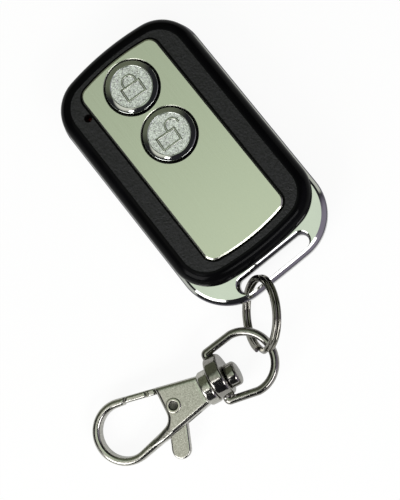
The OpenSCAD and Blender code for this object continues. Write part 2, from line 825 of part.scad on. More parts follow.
// Clasp body with its hook, its collar and the slot for the gate
module clasp_body() {
    color("#a8a698") in_clasp() difference() {
        union() {
            translate([0, 0, -hook_t / 2]) linear_extrude(hook_t) difference() {
                drop(hook_r, body_end_half);
                hook_inside();
                difference() {
                    translate([-hook_x, 0]) square([hook_x - body_back, hook_r + cut]);
                    difference() {
                        translate([-hook_x - cut, -cut]) square([hook_x, hook_r + 3 * cut]);
                        circle(r = gate_reach + tip_gap);
                    }
                }
            }
            translate([0, 0, -body_t / 2]) linear_extrude(body_t) intersection() {
                drop(hook_r, body_end_half);
                translate([-body_back, -hook_r]) square([collar_x + body_back, 2 * hook_r]);
            }
            along_axis(collar_x, collar_x + collar_t, collar_d);
        }
        translate([-gate_slot_left, -hook_r - cut, -gate_slot_t / 2])
            cube([gate_slot_left + gate_slot_right, 2 * (hook_r + cut), gate_slot_t]);
        translate([0, 0, -body_t]) cylinder(d = pin_d + 2 * bore_gap, h = 2 * body_t);
        along_axis(collar_x - post_root - bore_gap, collar_x + collar_t + cut,
            post_rod_d + 2 * bore_gap);
        translate([0, spring_y, 0])
            along_axis(gate_slot_right - cut, spring_seat, spring_d + 2 * spring_gap);
    }
}

// Gate bar along the clasp's upper edge, from one distance behind the pin to its tip
module gate_bar(back) {
    intersection() {
        difference() {
            drop(hook_r, body_end_half);
            drop(hook_r - gate_w, body_end_half - gate_w);
        }
        circle(r = gate_reach);
        translate([-hook_x - hook_r, 0]) square([hook_x + hook_r - back, hook_r]);
    }
}

// Gate and thumb lever, one bell crank on the pin
module clasp_gate() {
    skin = 0.2;
    color("#b3b1a5") in_clasp() difference() {
        union() {
            translate([0, 0, -gate_t / 2]) linear_extrude(gate_t) {
                circle(r = hub_r);
                gate_bar(0);
                polygon([[0, 0], [-hub_r, 0], [-body_back, hook_r - 3 * gate_w / 2], [0, hub_r]]);
                rotate([0, 0, lever_dir]) translate([0, -lever_w / 2]) square([lever_reach, lever_w]);
                rotate([0, 0, lever_dir]) translate([lever_reach, 0]) circle(d = lever_w);
            }
            translate([0, 0, skin - hook_t / 2]) linear_extrude(hook_t - 2 * skin)
                gate_bar(body_back + gate_gap + skin);
        }
        translate([0, 0, -hook_t]) cylinder(d = pin_d + 2 * pin_gap, h = 2 * hook_t);
    }
}

// Rivet on which the gate turns
module gate_pin() {
    head_t_out = 0.35;
    dimple = 0.25;
    color("#8c8a80") in_clasp() difference() {
        union() {
            translate([0, 0, -body_t / 2 - head_t_out]) cylinder(d = pin_d, h = body_t + 2 * head_t_out);
            for (s = [-1, 1]) translate([0, 0, s * (body_t + head_t_out) / 2 - head_t_out / 2])
                cylinder(d = pin_head_d, h = head_t_out);
        }
        translate([0, 0, body_t / 2 + head_t_out - dimple]) cylinder(d = pin_d, h = cut);
    }
}

// Coil spring that shuts the gate, in its bore
module gate_spring() {
    r = (spring_d - spring_wire) / 2;
    rings = 8;
    sides = 6;
    count = spring_turns * rings;
    start = spring_seat - spring_wire / 2 - part_gap;
    color("#b0b0ac") in_clasp() translate([start, spring_y, 0]) rotate([0, -90, 0])
        loft([for (i = [0 : count]) let (a = 360 * i / rings)
            [for (k = [0 : sides - 1]) let (b = -360 * k / sides, q = r + spring_wire / 2 * cos(b))
                [q * cos(a), q * sin(a), spring_pitch * i / rings + spring_wire / 2 * sin(b)]]]);
}

rear_shell();
middle_frame();
front_shell();
plate_adhesive();
face_plate();
lock_button();
unlock_button();
lock_switch();
unlock_switch();
lock_plunger();
unlock_plunger();
circuit_board();
status_led();
encoder_chip();
saw_resonator();
rf_transistor();
chip_components();
antenna_loop();
coin_cell();
battery_clip();
battery_contact();
case_screws();
split_ring();
swivel_eye();
swivel_rivet();
clasp_body();
clasp_gate();
gate_pin();
gate_spring();
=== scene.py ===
"""Dresses the alarm key fob: shells, chrome frame, face plate, buttons, split ring and swivel clasp."""

import json
import logging
import math
from contextlib import contextmanager
from dataclasses import dataclass, field
from enum import Enum
from typing import Any, Callable, Iterator, Sequence

import bmesh
import bpy
from mathutils import Matrix, Vector


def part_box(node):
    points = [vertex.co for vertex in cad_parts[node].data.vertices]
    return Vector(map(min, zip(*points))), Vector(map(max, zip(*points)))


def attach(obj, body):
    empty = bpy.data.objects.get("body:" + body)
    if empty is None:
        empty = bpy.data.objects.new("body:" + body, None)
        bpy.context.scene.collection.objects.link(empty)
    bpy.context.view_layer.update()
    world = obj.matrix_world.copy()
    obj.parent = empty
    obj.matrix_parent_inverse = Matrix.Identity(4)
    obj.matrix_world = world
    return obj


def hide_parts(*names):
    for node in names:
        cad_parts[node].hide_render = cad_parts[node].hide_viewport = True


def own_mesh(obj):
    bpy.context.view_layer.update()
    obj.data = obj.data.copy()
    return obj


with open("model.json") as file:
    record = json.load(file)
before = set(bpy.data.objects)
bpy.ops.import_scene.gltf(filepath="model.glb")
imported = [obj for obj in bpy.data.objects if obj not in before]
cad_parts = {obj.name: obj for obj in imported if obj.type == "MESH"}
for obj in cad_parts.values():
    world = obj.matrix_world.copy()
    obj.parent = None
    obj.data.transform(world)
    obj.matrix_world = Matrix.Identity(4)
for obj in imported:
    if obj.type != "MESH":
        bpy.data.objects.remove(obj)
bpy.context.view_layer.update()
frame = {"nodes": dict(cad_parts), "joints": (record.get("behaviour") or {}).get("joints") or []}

# Pieces are modelled in millimetres and scaled to metres when they are settled in place.
MM = 0.001
# Segments of rolled edges, of narrow rims and of round holes.
ROUND_STEPS = 5
RIM_STEPS = 3
HOLE_STEPS = 40
# How far upright a face's normal has to stand for a flat end, and for a grained face.
FLAT = 0.99
DEAD_FLAT = 0.999
# Heights that are closer than this count as one level, and vertices closer than the next are merged.
SAME_LEVEL = 0.01
WELD = 1e-4
# How far outside a surface the cutters start.
OVERSHOOT = 1.0
# Part of a pattern's range that its colours and its roughness are spread over, and detail of its noise.
PATTERN_RANGE = (0.3, 0.7)
NOISE_DETAIL = 3.0

Point = tuple[float, float]
FaceTest = Callable[[bmesh.types.BMFace], bool]
log = logging.getLogger("key_fob")


def linear(hex_colour: str) -> tuple[float, float, float, float]:
    """Turns an sRGB hex colour into linear values.

    Args:
        hex_colour: Six hex digits after a hash sign.

    Returns:
        Red, green, blue and an alpha of 1.
    """
    channels = [int(hex_colour[i:i + 2], 16) / 255 for i in (1, 3, 5)]
    red, green, blue = (c / 12.92 if c <= 0.04045 else ((c + 0.055) / 1.055) ** 2.4 for c in channels)
    return red, green, blue, 1.0


def add_node(tree: bpy.types.NodeTree, kind: str, inputs: dict[Any, Any] | None = None,
             **settings: Any) -> bpy.types.Node:
    """Adds a node with its settings, constants and links.

    Args:
        tree: Node tree that gets the node.
        kind: Blender's type name of the node.
        inputs: Value or output socket for each input, by name or number.
        settings: Attributes of the node.

    Returns:
        The new node.
    """
    node = tree.nodes.new(kind)
    for name, value in settings.items():
        setattr(node, name, value)
    for name, value in (inputs or {}).items():
        if isinstance(value, bpy.types.NodeSocket):
            tree.links.new(value, node.inputs[name])
        else:
            node.inputs[name].default_value = value
    return node


class Pattern(Enum):
    """How a finish varies over its surface."""

    GRAIN = "grain"
    FLAKE = "flake"


@dataclass(frozen=True)
class Finish:
    """A real material and how its surface was made.

    The grain's size and depth are in millimetres. Roughness swings so far either way with the pattern.
    """

    name: str
    colour: str
    accent: str
    roughness: float
    swing: float
    grain: float
    depth: float = 0.0
    metallic: float = 0.0
    specular: float = 0.5
    stretch: tuple[float, float, float] = (1.0, 1.0, 1.0)
    pattern: Pattern = Pattern.GRAIN
    tilt: float = 0.0

    def material(self) -> bpy.types.Material:
        """Gives the finish's material, made on first use.

        Returns:
            The material.
        """
        made = bpy.data.materials.get(self.name)
        if made:
            return made
        made = bpy.data.materials.new(self.name)
        made.use_nodes = True
        tree = made.node_tree
        shader = tree.nodes["Principled BSDF"]
        shader.inputs["Metallic"].default_value = self.metallic
        shader.inputs["Specular IOR Level"].default_value = self.specular
        place = add_node(tree, "ShaderNodeTexCoord").outputs["Object"]
        mapped = add_node(tree, "ShaderNodeMapping", {"Vector": place, "Scale": self.stretch})
        scale = 1 / (self.grain * MM)
        if self.pattern is Pattern.FLAKE:
            cells = add_node(tree, "ShaderNodeTexVoronoi", {"Vector": mapped.outputs[0], "Scale": scale})
            value = add_node(tree, "ShaderNodeSeparateColor", {0: cells.outputs["Color"]}).outputs[0]
            self.tilt_flakes(tree, shader, cells.outputs["Color"])
        else:
            cells = add_node(tree, "ShaderNodeTexNoise",
                             {"Vector": mapped.outputs[0], "Scale": scale, "Detail": NOISE_DETAIL})
            value = cells.outputs[0]
            if self.depth:
                bump = add_node(tree, "ShaderNodeBump", {"Height": value, "Distance": self.depth * MM})
                tree.links.new(bump.outputs[0], shader.inputs["Normal"])
        ramp = add_node(tree, "ShaderNodeValToRGB", {0: value})
        low, high = ramp.color_ramp.elements
        low.position, high.position = least, most = PATTERN_RANGE
        low.color, high.color = linear(self.colour), linear(self.accent)
        tree.links.new(ramp.outputs[0], shader.inputs["Base Color"])
        spread = add_node(tree, "ShaderNodeMapRange",
                          {"Value": value, "From Min": least, "From Max": most,
                           "To Min": self.roughness - self.swing, "To Max": self.roughness + self.swing})
        tree.links.new(spread.outputs[0], shader.inputs["Roughness"])
        return made

    def tilt_flakes(self, tree: bpy.types.NodeTree, shader: bpy.types.Node,
                    random: bpy.types.NodeSocket) -> None:
        """Turns each flake a little its own way, so that some flash and some go dark.

        Args:
            tree: Node tree of the material.
            shader: Surface shader that takes the normal.
            random: One random colour for each flake.
        """
        normal = add_node(tree, "ShaderNodeNewGeometry").outputs["Normal"]
        centred = add_node(tree, "ShaderNodeVectorMath",
                           {0: random, 1: (0.5, 0.5, 0.5)}, operation="SUBTRACT")
        leaned = add_node(tree, "ShaderNodeVectorMath",
                          {0: centred.outputs[0], 1: (self.tilt,) * 3, 2: normal}, operation="MULTIPLY_ADD")
        unit = add_node(tree, "ShaderNodeVectorMath", {0: leaned.outputs[0]}, operation="NORMALIZE")
        tree.links.new(unit.outputs[0], shader.inputs["Normal"])


# ABS, moulded in a polished tool: deep black with sharp, weak reflections.
GLOSS_ABS = Finish("abs_black_polished", "#0a0a0b", "#0e0e10",
                   roughness=0.14, swing=0.03, grain=4.0, depth=0.004, specular=0.05)
# ABS, moulded in a spark-eroded tool: dull black with a fine grain, drawn coarse enough to show.
GRAIN_ABS = Finish("abs_black_spark_grain", "#131315", "#2b2b2e",
                   roughness=0.5, swing=0.08, grain=0.42, depth=0.2)
# ABS with bright chrome plating: near mirror, with the faint waves of the moulding below it.
CHROME = Finish("abs_chrome_plated", "#cbccc9", "#d2d3cf",
                metallic=1.0, roughness=0.07, swing=0.02, grain=6.0, depth=0.004)
# The same plating on steep, narrow facets, coloured dull lilac grey: painted shade for the dark these facets
# mirror.
CHROME_SHADED_FACET = Finish("abs_chrome_facet_painted_shade", "#5f5c67", "#6b6873",
                      metallic=1.0, roughness=0.16, swing=0.03, grain=3.0, depth=0.004)
# Aluminium sheet, brushed lengthwise and clear anodised: soft sheen, its lines drawn coarse enough to show.
PLATE = Finish("aluminium_satin_anodised", "#cacbbd", "#d0d2c4",
               metallic=1.0, roughness=0.22, swing=0.03, grain=0.22, depth=0.002, stretch=(1.0, 0.03, 1.0))
# ABS with bright chrome plating on the buttons' bevels: a sharp mirror.
BUTTON_CHROME = Finish("abs_button_chrome", "#d5d9d5", "#dee0dc",
                       metallic=1.0, roughness=0.06, swing=0.02, grain=4.0, depth=0.002)
# Lacquer full of silver flakes, on the buttons' fields: each flashes by itself, drawn coarse enough to show.
FLAKE = Finish("silver_flake_lacquer", "#dedbe4", "#ffffff",
               metallic=0.8, roughness=0.2, swing=0.06, grain=0.17, pattern=Pattern.FLAKE, tilt=0.3)
# Bare plated ridges of the signs, worn smooth: their slopes mirror the dark of the room.
SIGN_SILVER = Finish("silver_plated_ridge", "#b8bab1", "#c6c8c0",
                     metallic=1.0, roughness=0.2, swing=0.03, grain=0.5, depth=0.004)
# Spring steel wire, nickel plated and tumbled: bright grey with soft cloudy patches.
RING_NICKEL = Finish("spring_steel_nickel_plated", "#838179", "#a09e95",
                     metallic=1.0, roughness=0.13, swing=0.04, grain=1.2, depth=0.006)
# Zinc die casting, tumbled and satin nickel plated: warm grey, its cast grain drawn coarse enough to show.
CAST_NICKEL = Finish("zinc_casting_satin_nickel", "#a8a79f", "#d3d2cb",
                     metallic=1.0, roughness=0.15, swing=0.05, grain=0.3, depth=0.012)
# Zinc eye and steel post, barrel polished and nickel plated: sharper than the satin casting, and coloured
# darker as painted shade.
EYE_NICKEL_SHADED = Finish("zinc_eye_nickel_painted_shade", "#8e8c87", "#a9a7a1",
                    metallic=1.0, roughness=0.12, swing=0.04, grain=0.5, depth=0.008)
# Steel hinge rivet, nickel plated with the rest of the clasp: pale and bright.
RIVET_NICKEL = Finish("steel_rivet_nickel_plated", "#bab8ad", "#d2d0c6",
                      metallic=1.0, roughness=0.18, swing=0.05, grain=0.5, depth=0.008)
# Hollow of the hinge rivet: dull and dark, painted shade in the dimple.
RIVET_HOLLOW_SHADE = Finish("steel_rivet_hollow_painted_shade", "#4c4b47", "#6a6963",
                    metallic=1.0, roughness=0.4, swing=0.05, grain=0.4, depth=0.008)
# Hard drawn spring wire: soft grey.
SPRING_STEEL = Finish("spring_wire_drawn", "#8d8e8c", "#a8a9a6",
                      metallic=1.0, roughness=0.3, swing=0.05, grain=0.3, depth=0.004)
# Blackened steel of the case screws: dull, with worn bright spots.
SCREW_STEEL = Finish("screw_steel_blackened", "#2c2d30", "#4a4b4f",
                     metallic=1.0, roughness=0.34, swing=0.08, grain=0.6, depth=0.006)
# Adhesive film under the plate: pale and matt.
FILM = Finish("acrylic_adhesive_film", "#cfcfc4", "#dcdcd2", roughness=0.6, swing=0.05, grain=0.8)
# Nylon switch housings: matt black.
SWITCH_NYLON = Finish("nylon_switch_black", "#1f1f21", "#2a2a2c",
                      roughness=0.5, swing=0.05, grain=0.4, depth=0.004)
# Acetal plungers: dull brick red.
PLUNGER_ACETAL = Finish("acetal_plunger_red", "#742a20", "#833428", roughness=0.42, swing=0.05, grain=0.4)
# Glass-fibre board under solder mask: glossy green, a little uneven.
BOARD = Finish("fr4_green_solder_mask", "#1d5a33", "#25693d",
               roughness=0.32, swing=0.06, grain=0.5, depth=0.004)
# Clear red epoxy of the lamp, dark when it is off.
LAMP_EPOXY = Finish("epoxy_lamp_red", "#5a1212", "#701a18", roughness=0.12, swing=0.02, grain=1.0)
# Moulded epoxy of the chip and the transistor: matt charcoal.
CHIP_EPOXY = Finish("epoxy_chip_black", "#242527", "#2f3032",
                    roughness=0.55, swing=0.05, grain=0.2, depth=0.003)
# Drawn nickel silver can of the resonator: bright warm grey.
CAN_NICKEL = Finish("nickel_silver_can", "#bdbcb3", "#cfcec6",
                    metallic=1.0, roughness=0.25, swing=0.05, grain=0.5, depth=0.003)
# Fired ceramic of the small chip parts: tan.
CERAMIC = Finish("ceramic_chip_tan", "#a58d67", "#b49c76",
                 roughness=0.45, swing=0.05, grain=0.3, depth=0.003)
# Bare copper wire of the aerial loop: orange with a soft shine.
AERIAL_COPPER = Finish("copper_wire_bare", "#b4713c", "#c5834c",
                       metallic=1.0, roughness=0.3, swing=0.05, grain=0.4, depth=0.002)
# Stainless steel can of the coin cell: cool grey with a soft shine.
CELL_STEEL = Finish("stainless_cell_can", "#b9bbbb", "#c9cbca",
                    metallic=1.0, roughness=0.26, swing=0.05, grain=0.6, depth=0.003)
# Nickel plated strip of the battery contacts: bright warm grey.
CONTACT_NICKEL = Finish("contact_strip_nickel", "#c4c3b8", "#d2d1c8",
                        metallic=1.0, roughness=0.24, swing=0.05, grain=0.5, depth=0.003)


def corners(node: str) -> tuple[Vector, Vector]:
    """Gives the lowest and the highest corner of a CAD node's box at rest, in millimetres."""
    low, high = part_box(node)
    return low / MM, high / MM


def joint(name: str) -> tuple[Vector, Vector]:
    """Gives a point on a joint's axis at rest, in millimetres, and the axis as a unit vector."""
    found = next(j for j in frame["joints"] if j["name"] == name)
    return Vector(found["pos_m"]) / MM, Vector(found["axis"]).normalized()


def add_object(name: str, operator: Callable[..., Any], **settings: Any) -> bpy.types.Object:
    """Adds a primitive, a camera or a lamp, which is then the only object selected.

    Args:
        name: Name of the object.
        operator: Blender's operator that adds it.
        settings: What the operator is given.

    Returns:
        The new object.
    """
    bpy.ops.object.select_all(action="DESELECT")
    operator(**settings)
    piece = bpy.context.object
    piece.name = name
    return piece


def take_up(piece: bpy.types.Object) -> None:
    """Leaves one object selected and active.

    Args:
        piece: The object.
    """
    bpy.ops.object.select_all(action="DESELECT")
    piece.select_set(True)
    bpy.context.view_layer.objects.active = piece


@contextmanager
def editing(piece: bpy.types.Object) -> Iterator[None]:
    """Keeps a piece in edit mode for a block of operators.

    Args:
        piece: Mesh object to edit.
    """
    take_up(piece)
    bpy.ops.object.mode_set(mode="EDIT")
    try:
        yield
    finally:
        bpy.ops.object.mode_set(mode="OBJECT")


def pick_faces(piece: bpy.types.Object, test: FaceTest) -> None:
    """Selects in edit mode the faces that pass a test, and no others.

    Args:
        piece: Mesh object in edit mode.
        test: Says whether a face is wanted.
    """
    bpy.ops.mesh.select_mode(type="FACE")
    bpy.ops.mesh.select_all(action="DESELECT")
    mesh = bmesh.from_edit_mesh(piece.data)
    for face in mesh.faces:
        if test(face):
            face.select_set(True)
    bmesh.update_edit_mesh(piece.data)


def pick_end(piece: bpy.types.Object, up: bool) -> None:
    """Selects in edit mode the highest upward or the lowest downward face.

    Args:
        piece: Mesh object in edit mode.
        up: True for the top, False for the underside.
    """
    side = 1 if up else -1
    mesh = bmesh.from_edit_mesh(piece.data)
    mesh.normal_update()
    level = max(f.calc_center_median().z * side for f in mesh.faces if f.normal.z * side > FLAT)
    pick_faces(piece, lambda f: f.normal.z * side > FLAT and f.calc_center_median().z * side > level - WELD)


def terrace(steps: Sequence[Point]) -> None:
    """Steps the selected flat face inwards and outwards along its normal.

    Args:
        steps: Distance inwards and rise of each step.
    """
    for inwards, rise in steps:
        if inwards:
            bpy.ops.mesh.inset(thickness=inwards, depth=rise, use_boundary=True, use_even_offset=True)
        else:
            bpy.ops.mesh.extrude_region_shrink_fatten(TRANSFORM_OT_shrink_fatten={"value": rise})


def quarter_round(width: float, height: float, steps: int = ROUND_STEPS) -> list[Point]:
    """Works out terrace steps for an edge that rolls over from upright to flat.

    Args:
        width: How far the roll goes inwards.
        height: How far it rises.
        steps: Number of steps.

    Returns:
        Distance inwards and rise of each step.
    """
    angles = [math.pi / 2 * i / steps for i in range(steps + 1)]
    return [(width * (math.cos(a) - math.cos(b)), height * (math.sin(b) - math.sin(a)))
            for a, b in zip(angles, angles[1:])]


def cove(width: float, height: float, steps: int = ROUND_STEPS) -> list[Point]:
    """Works out terrace steps for a cutter that leaves a rim rolled over a width and a height."""
    return [(inwards, rise) for rise, inwards in quarter_round(height, width, steps)]


def outline_face(name: str, points: Sequence[Point], level: float) -> bpy.types.Object:
    """Adds a flat face whose rim follows an outline.

    Args:
        name: Name of the object.
        points: Outline, turning left.
        level: Height of the face.

    Returns:
        The new object: a filled circle with its vertices slid onto the outline.
    """
    piece = add_object(name, bpy.ops.mesh.primitive_circle_add, vertices=len(points), fill_type="NGON")
    for vertex, (x, y) in zip(piece.data.vertices, points):
        vertex.co = (x, y, level)
    return piece


def raise_block(name: str, points: Sequence[Point], low: float, high: float,
                top: Sequence[Point] = (), under: Sequence[Point] = ()) -> bpy.types.Object:
    """Raises an outline to a block and steps its two ends.

    Args:
        name: Name of the object.
        points: Outline, turning left.
        low: Height where the upright wall starts.
        high: Height where the upright wall ends.
        top: Terrace steps of the upper end.
        under: Terrace steps of the lower end.

    Returns:
        The closed block.
    """
    piece = outline_face(name, points, low)
    with editing(piece):
        bpy.ops.mesh.select_all(action="SELECT")
        bpy.ops.mesh.extrude_region_move(TRANSFORM_OT_translate={"value": (0, 0, high - low)})
        bpy.ops.mesh.select_all(action="SELECT")
        bpy.ops.mesh.normals_make_consistent(inside=False)
        for up, steps in ((True, top), (False, under)):
            if steps:
                pick_end(piece, up)
                terrace(steps)
    return piece


def plunge(name: str, points: Sequence[Point], level: float, steps: Sequence[Point],
           down: bool = True) -> bpy.types.Object:
    """Makes a cutter that enters a surface from outside and narrows step by step.

    Args:
        name: Name of the object.
        points: Outline at the surface, turning left.
        level: Height of the surface.
        steps: Terrace steps from the surface inwards.
        down: True to enter from above, False to enter from below.

    Returns:
        The closed cutter.
    """
    entry = [(0.0, OVERSHOOT), *steps]
    if down:
        return raise_block(name, points, level + OVERSHOOT, level + 2 * OVERSHOOT, (), entry)
    return raise_block(name, points, level - 2 * OVERSHOOT, level - OVERSHOOT, entry)


def circle_points(centre: Point, radius: float, steps: int = 64) -> list[Point]:
    """Works out the points of a circle, turning left, one for each step."""
    return arc(centre, radius, 0, 2 * math.pi, steps)[:-1]


def arc(centre: Point, radius: float, start: float, end: float, steps: int) -> list[Point]:
    """Works out the points along an arc from a start angle to an end angle, both ends included."""
    angles = [start + (end - start) * i / steps for i in range(steps + 1)]
    return [(centre[0] + radius * math.cos(angle), centre[1] + radius * math.sin(angle)) for angle in angles]


def slot_points(low: float, high: float, reach: float, steps: int = HOLE_STEPS) -> list[Point]:
    """Works out the outline of a slot with round ends.

    Args:
        low: Lower edge.
        high: Upper edge.
        reach: Half its length.
        steps: Segments of each end.

    Returns:
        The points, turning left.
    """
    radius, middle = (high - low) / 2, (high + low) / 2
    right = arc((reach - radius, middle), radius, -math.pi / 2, math.pi / 2, steps)
    left = arc((radius - reach, middle), radius, math.pi / 2, 3 * math.pi / 2, steps)
    return right + left


def soften(points: Sequence[tuple[float, float, float]], steps: int = 4) -> list[Point]:
    """Rounds the corners of a path.

    Args:
        points: Corners with the radius of each; 0 keeps a corner sharp, as at both ends.
        steps: Segments of each arc.

    Returns:
        Points of the softened path.
    """
    made: list[Point] = []
    for i, (x, y, radius) in enumerate(points):
        if not radius:
            made.append((x, y))
            continue
        here = Vector((x, y))
        back = (Vector(points[i - 1][:2]) - here).normalized()
        ahead = (Vector(points[(i + 1) % len(points)][:2]) - here).normalized()
        half = back.angle(ahead) / 2
        middle = here + (back + ahead).normalized() * radius / math.sin(half)
        first = here + back * radius / math.tan(half) - middle
        last = here + ahead * radius / math.tan(half) - middle
        sweep = first.angle_signed(last)
        for k in range(steps + 1):
            spoke = first.copy()
            spoke.rotate(Matrix.Rotation(-sweep * k / steps, 2))
            made.append(tuple(middle + spoke))
    return made


def lathe(name: str, profile: Sequence[Point], steps: int = 72) -> bpy.types.Object:
    """Turns a profile round the upright axis.

    Args:
        name: Name of the object.
        profile: Radius and height of each point, from axis to axis.
        steps: Segments round the axis.

    Returns:
        The closed turned piece.
    """
    piece = add_object(name, bpy.ops.mesh.primitive_plane_add)
    with editing(piece):
        bpy.ops.mesh.select_mode(type="VERT")
        bpy.ops.mesh.select_all(action="SELECT")
        bpy.ops.mesh.merge(type="CENTER")
        bpy.ops.transform.translate(value=(profile[0][0], 0, profile[0][1]))
        for (r0, z0), (r1, z1) in zip(profile, profile[1:]):
            bpy.ops.mesh.extrude_vertices_move(TRANSFORM_OT_translate={"value": (r1 - r0, 0, z1 - z0)})
        bpy.ops.mesh.select_all(action="SELECT")
        bpy.ops.mesh.spin(steps=steps, angle=2 * math.pi, center=(0, 0, 0), axis=(0, 0, 1))
        close_up()
    return piece


def close_up() -> None:
    """Merges doubles, fills open ends and turns all faces outwards, in edit mode."""
    bpy.ops.mesh.select_all(action="SELECT")
    bpy.ops.mesh.remove_doubles(threshold=WELD)
    bpy.ops.mesh.fill_holes(sides=0)
    bpy.ops.mesh.select_all(action="SELECT")
    bpy.ops.mesh.normals_make_consistent(inside=False)


class Sweep:
    """A section that is carried along straight runs and turns, as one bar or wire."""

    def __init__(self, name: str, section: Sequence[Vector]) -> None:
        """Adds the section as a ring of edges and takes it into edit mode.

        Args:
            name: Name of the object.
            section: Points of the section, in place.
        """
        self.piece = add_object(name, bpy.ops.mesh.primitive_circle_add, vertices=len(section),
                                fill_type="NOTHING")
        for vertex, point in zip(self.piece.data.vertices, section):
            vertex.co = point
        take_up(self.piece)
        bpy.ops.object.mode_set(mode="EDIT")
        bpy.ops.mesh.select_mode(type="EDGE")
        bpy.ops.mesh.select_all(action="SELECT")

    def run(self, step: Sequence[float]) -> None:
        """Carries the section straight on by a step."""
        bpy.ops.mesh.extrude_edges_move(TRANSFORM_OT_translate={"value": tuple(step)})

    def turn(self, angle: float, centre: Sequence[float], axis: Sequence[float], steps: int,
             rises: Sequence[float] = ()) -> None:
        """Carries the section round an axis.

        Args:
            angle: Angle of the turn, by the right hand; the operator counts it the other way.
            centre: Point on the axis.
            axis: Direction of the axis.
            steps: Number of steps, where it stays level.
            rises: Climb of each step, where it doesn't.
        """
        for count, rise in [(1, r) for r in rises] or [(steps, 0.0)]:
            share = angle / len(rises) if rises else angle
            bpy.ops.mesh.spin(steps=count, angle=-share, center=tuple(centre), axis=tuple(axis))
            if rise:
                bpy.ops.transform.translate(value=(0, 0, rise))

    def close(self) -> bpy.types.Object:
        """Closes both ends and leaves edit mode.

        Returns:
            The swept piece.
        """
        close_up()
        bpy.ops.object.mode_set(mode="OBJECT")
        return self.piece


def apply_modifier(piece: bpy.types.Object, kind: str, **settings: Any) -> None:
    """Adds a modifier and applies it.

    Args:
        piece: Mesh object.
        kind: Blender's type name of the modifier.
        settings: Attributes of the modifier.
    """
    take_up(piece)
    modifier = piece.modifiers.new(kind.lower(), kind)
    for name, value in settings.items():
        setattr(modifier, name, value)
    bpy.ops.object.modifier_apply(modifier=modifier.name)


def carve(piece: bpy.types.Object, *tools: bpy.types.Object) -> None:
    """Cuts tools out of a piece and throws the tools away.

    Args:
        piece: Mesh object that is worked on.
        tools: Closed mesh objects.
    """
    for tool in tools:
        apply_modifier(piece, "BOOLEAN", operation="DIFFERENCE", solver="EXACT", object=tool)
        bpy.data.objects.remove(tool)


def cast(piece: bpy.types.Object, others: Sequence[bpy.types.Object], voxel: float, smoothing: int) -> None:
    """Melts overlapping blocks into one skin with soft edges, as a tumbled casting has.

    Args:
        piece: Closed mesh object that takes in the others.
        others: Closed mesh objects that overlap it.
        voxel: Size of the grid.
        smoothing: Number of smoothing passes.
    """
    take_up(piece)
    for other in others:
        other.select_set(True)
    bpy.ops.object.join()
    apply_modifier(piece, "REMESH", mode="VOXEL", voxel_size=voxel, use_smooth_shade=True)
    apply_modifier(piece, "SMOOTH", factor=0.5, iterations=smoothing)


def lay_finishes(piece: bpy.types.Object, main: Finish, *others: tuple[Finish, FaceTest]) -> None:
    """Gives a piece its main finish, and others on the faces that pass their tests.

    Args:
        piece: Mesh object.
        main: Finish of most faces.
        others: Each other finish, with the test that its faces pass.
    """
    for finish in (main, *(finish for finish, _ in others)):
        piece.data.materials.append(finish.material())
    with editing(piece):
        for index, (_, test) in enumerate(others, 1):
            pick_faces(piece, test)
            piece.active_material_index = index
            bpy.ops.object.material_slot_assign()


def settle(piece: bpy.types.Object, placement: Matrix = Matrix.Identity(4)) -> None:
    """Moves a piece from its own millimetre frame to its place, in metres.

    Args:
        piece: Mesh object.
        placement: Turn and shift to its place, in millimetres.
    """
    take_up(piece)
    piece.matrix_world = Matrix.Scale(MM, 4) @ placement
    bpy.context.view_layer.update()
    bpy.ops.object.transform_apply(location=True, rotation=True, scale=True)


def hand_over(piece: bpy.types.Object, body: str, slot: str, finish: Finish, *nodes: str,
              crease: float = 30.0) -> None:
    """Shades a settled piece, gives it its finish and hands it to its body.

    Args:
        piece: Mesh object in its place.
        body: CAD body that it rides on.
        slot: Material slot of the record; not used.
        finish: Its finish, unless its faces have theirs already.
        nodes: CAD nodes that it stands for.
        crease: Angle above which an edge stays sharp, in degrees; 0 keeps the shading it has.
    """
    take_up(piece)
    if crease:
        bpy.ops.object.shade_smooth_by_angle(angle=math.radians(crease))
        apply_modifier(piece, "WEIGHTED_NORMAL", keep_sharp=True)
    if not piece.data.materials:
        piece.data.materials.append(finish.material())
    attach(piece, body)
    if nodes:
        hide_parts(*nodes)
    log.info("%s rides on %s: %d faces", piece.name, body, len(piece.data.polygons))


@dataclass(frozen=True)
class EndCurve:
    """End of an outline: how far it reaches, its corner radius and the radius of its bow."""

    reach: float
    corner: float
    bow: float

    def points(self, half: float, inset: float, steps: int = 24) -> list[Point]:
        """Works out the end from the right side to the left.

        Args:
            half: Half width of the outline.
            inset: How far the outline is drawn in.
            steps: Segments of each of its three arcs.

        Returns:
            Points of an upper end.
        """
        rise = math.sqrt((self.bow - self.corner) ** 2 - (half - self.corner) ** 2)
        meet = math.atan2(rise, half - self.corner)
        side, level = half - self.corner, self.reach - self.bow + rise
        right = arc((side, level), self.corner - inset, 0, meet, steps)
        bow = arc((0, self.reach - self.bow), self.bow - inset, meet, math.pi - meet, steps)
        left = arc((-side, level), self.corner - inset, math.pi - meet, math.pi, steps)
        return right + bow[1:-1] + left


@dataclass(frozen=True)
class Outline:
    """Outline with straight sides and two bowed ends."""

    half: float
    top: EndCurve
    low: EndCurve

    def points(self, inset: float = 0.0) -> list[Point]:
        """Works out the points of the whole outline, turning left, drawn in by an inset."""
        lower = [(-x, -y) for x, y in self.low.points(self.half, inset)]
        return self.top.points(self.half, inset) + lower


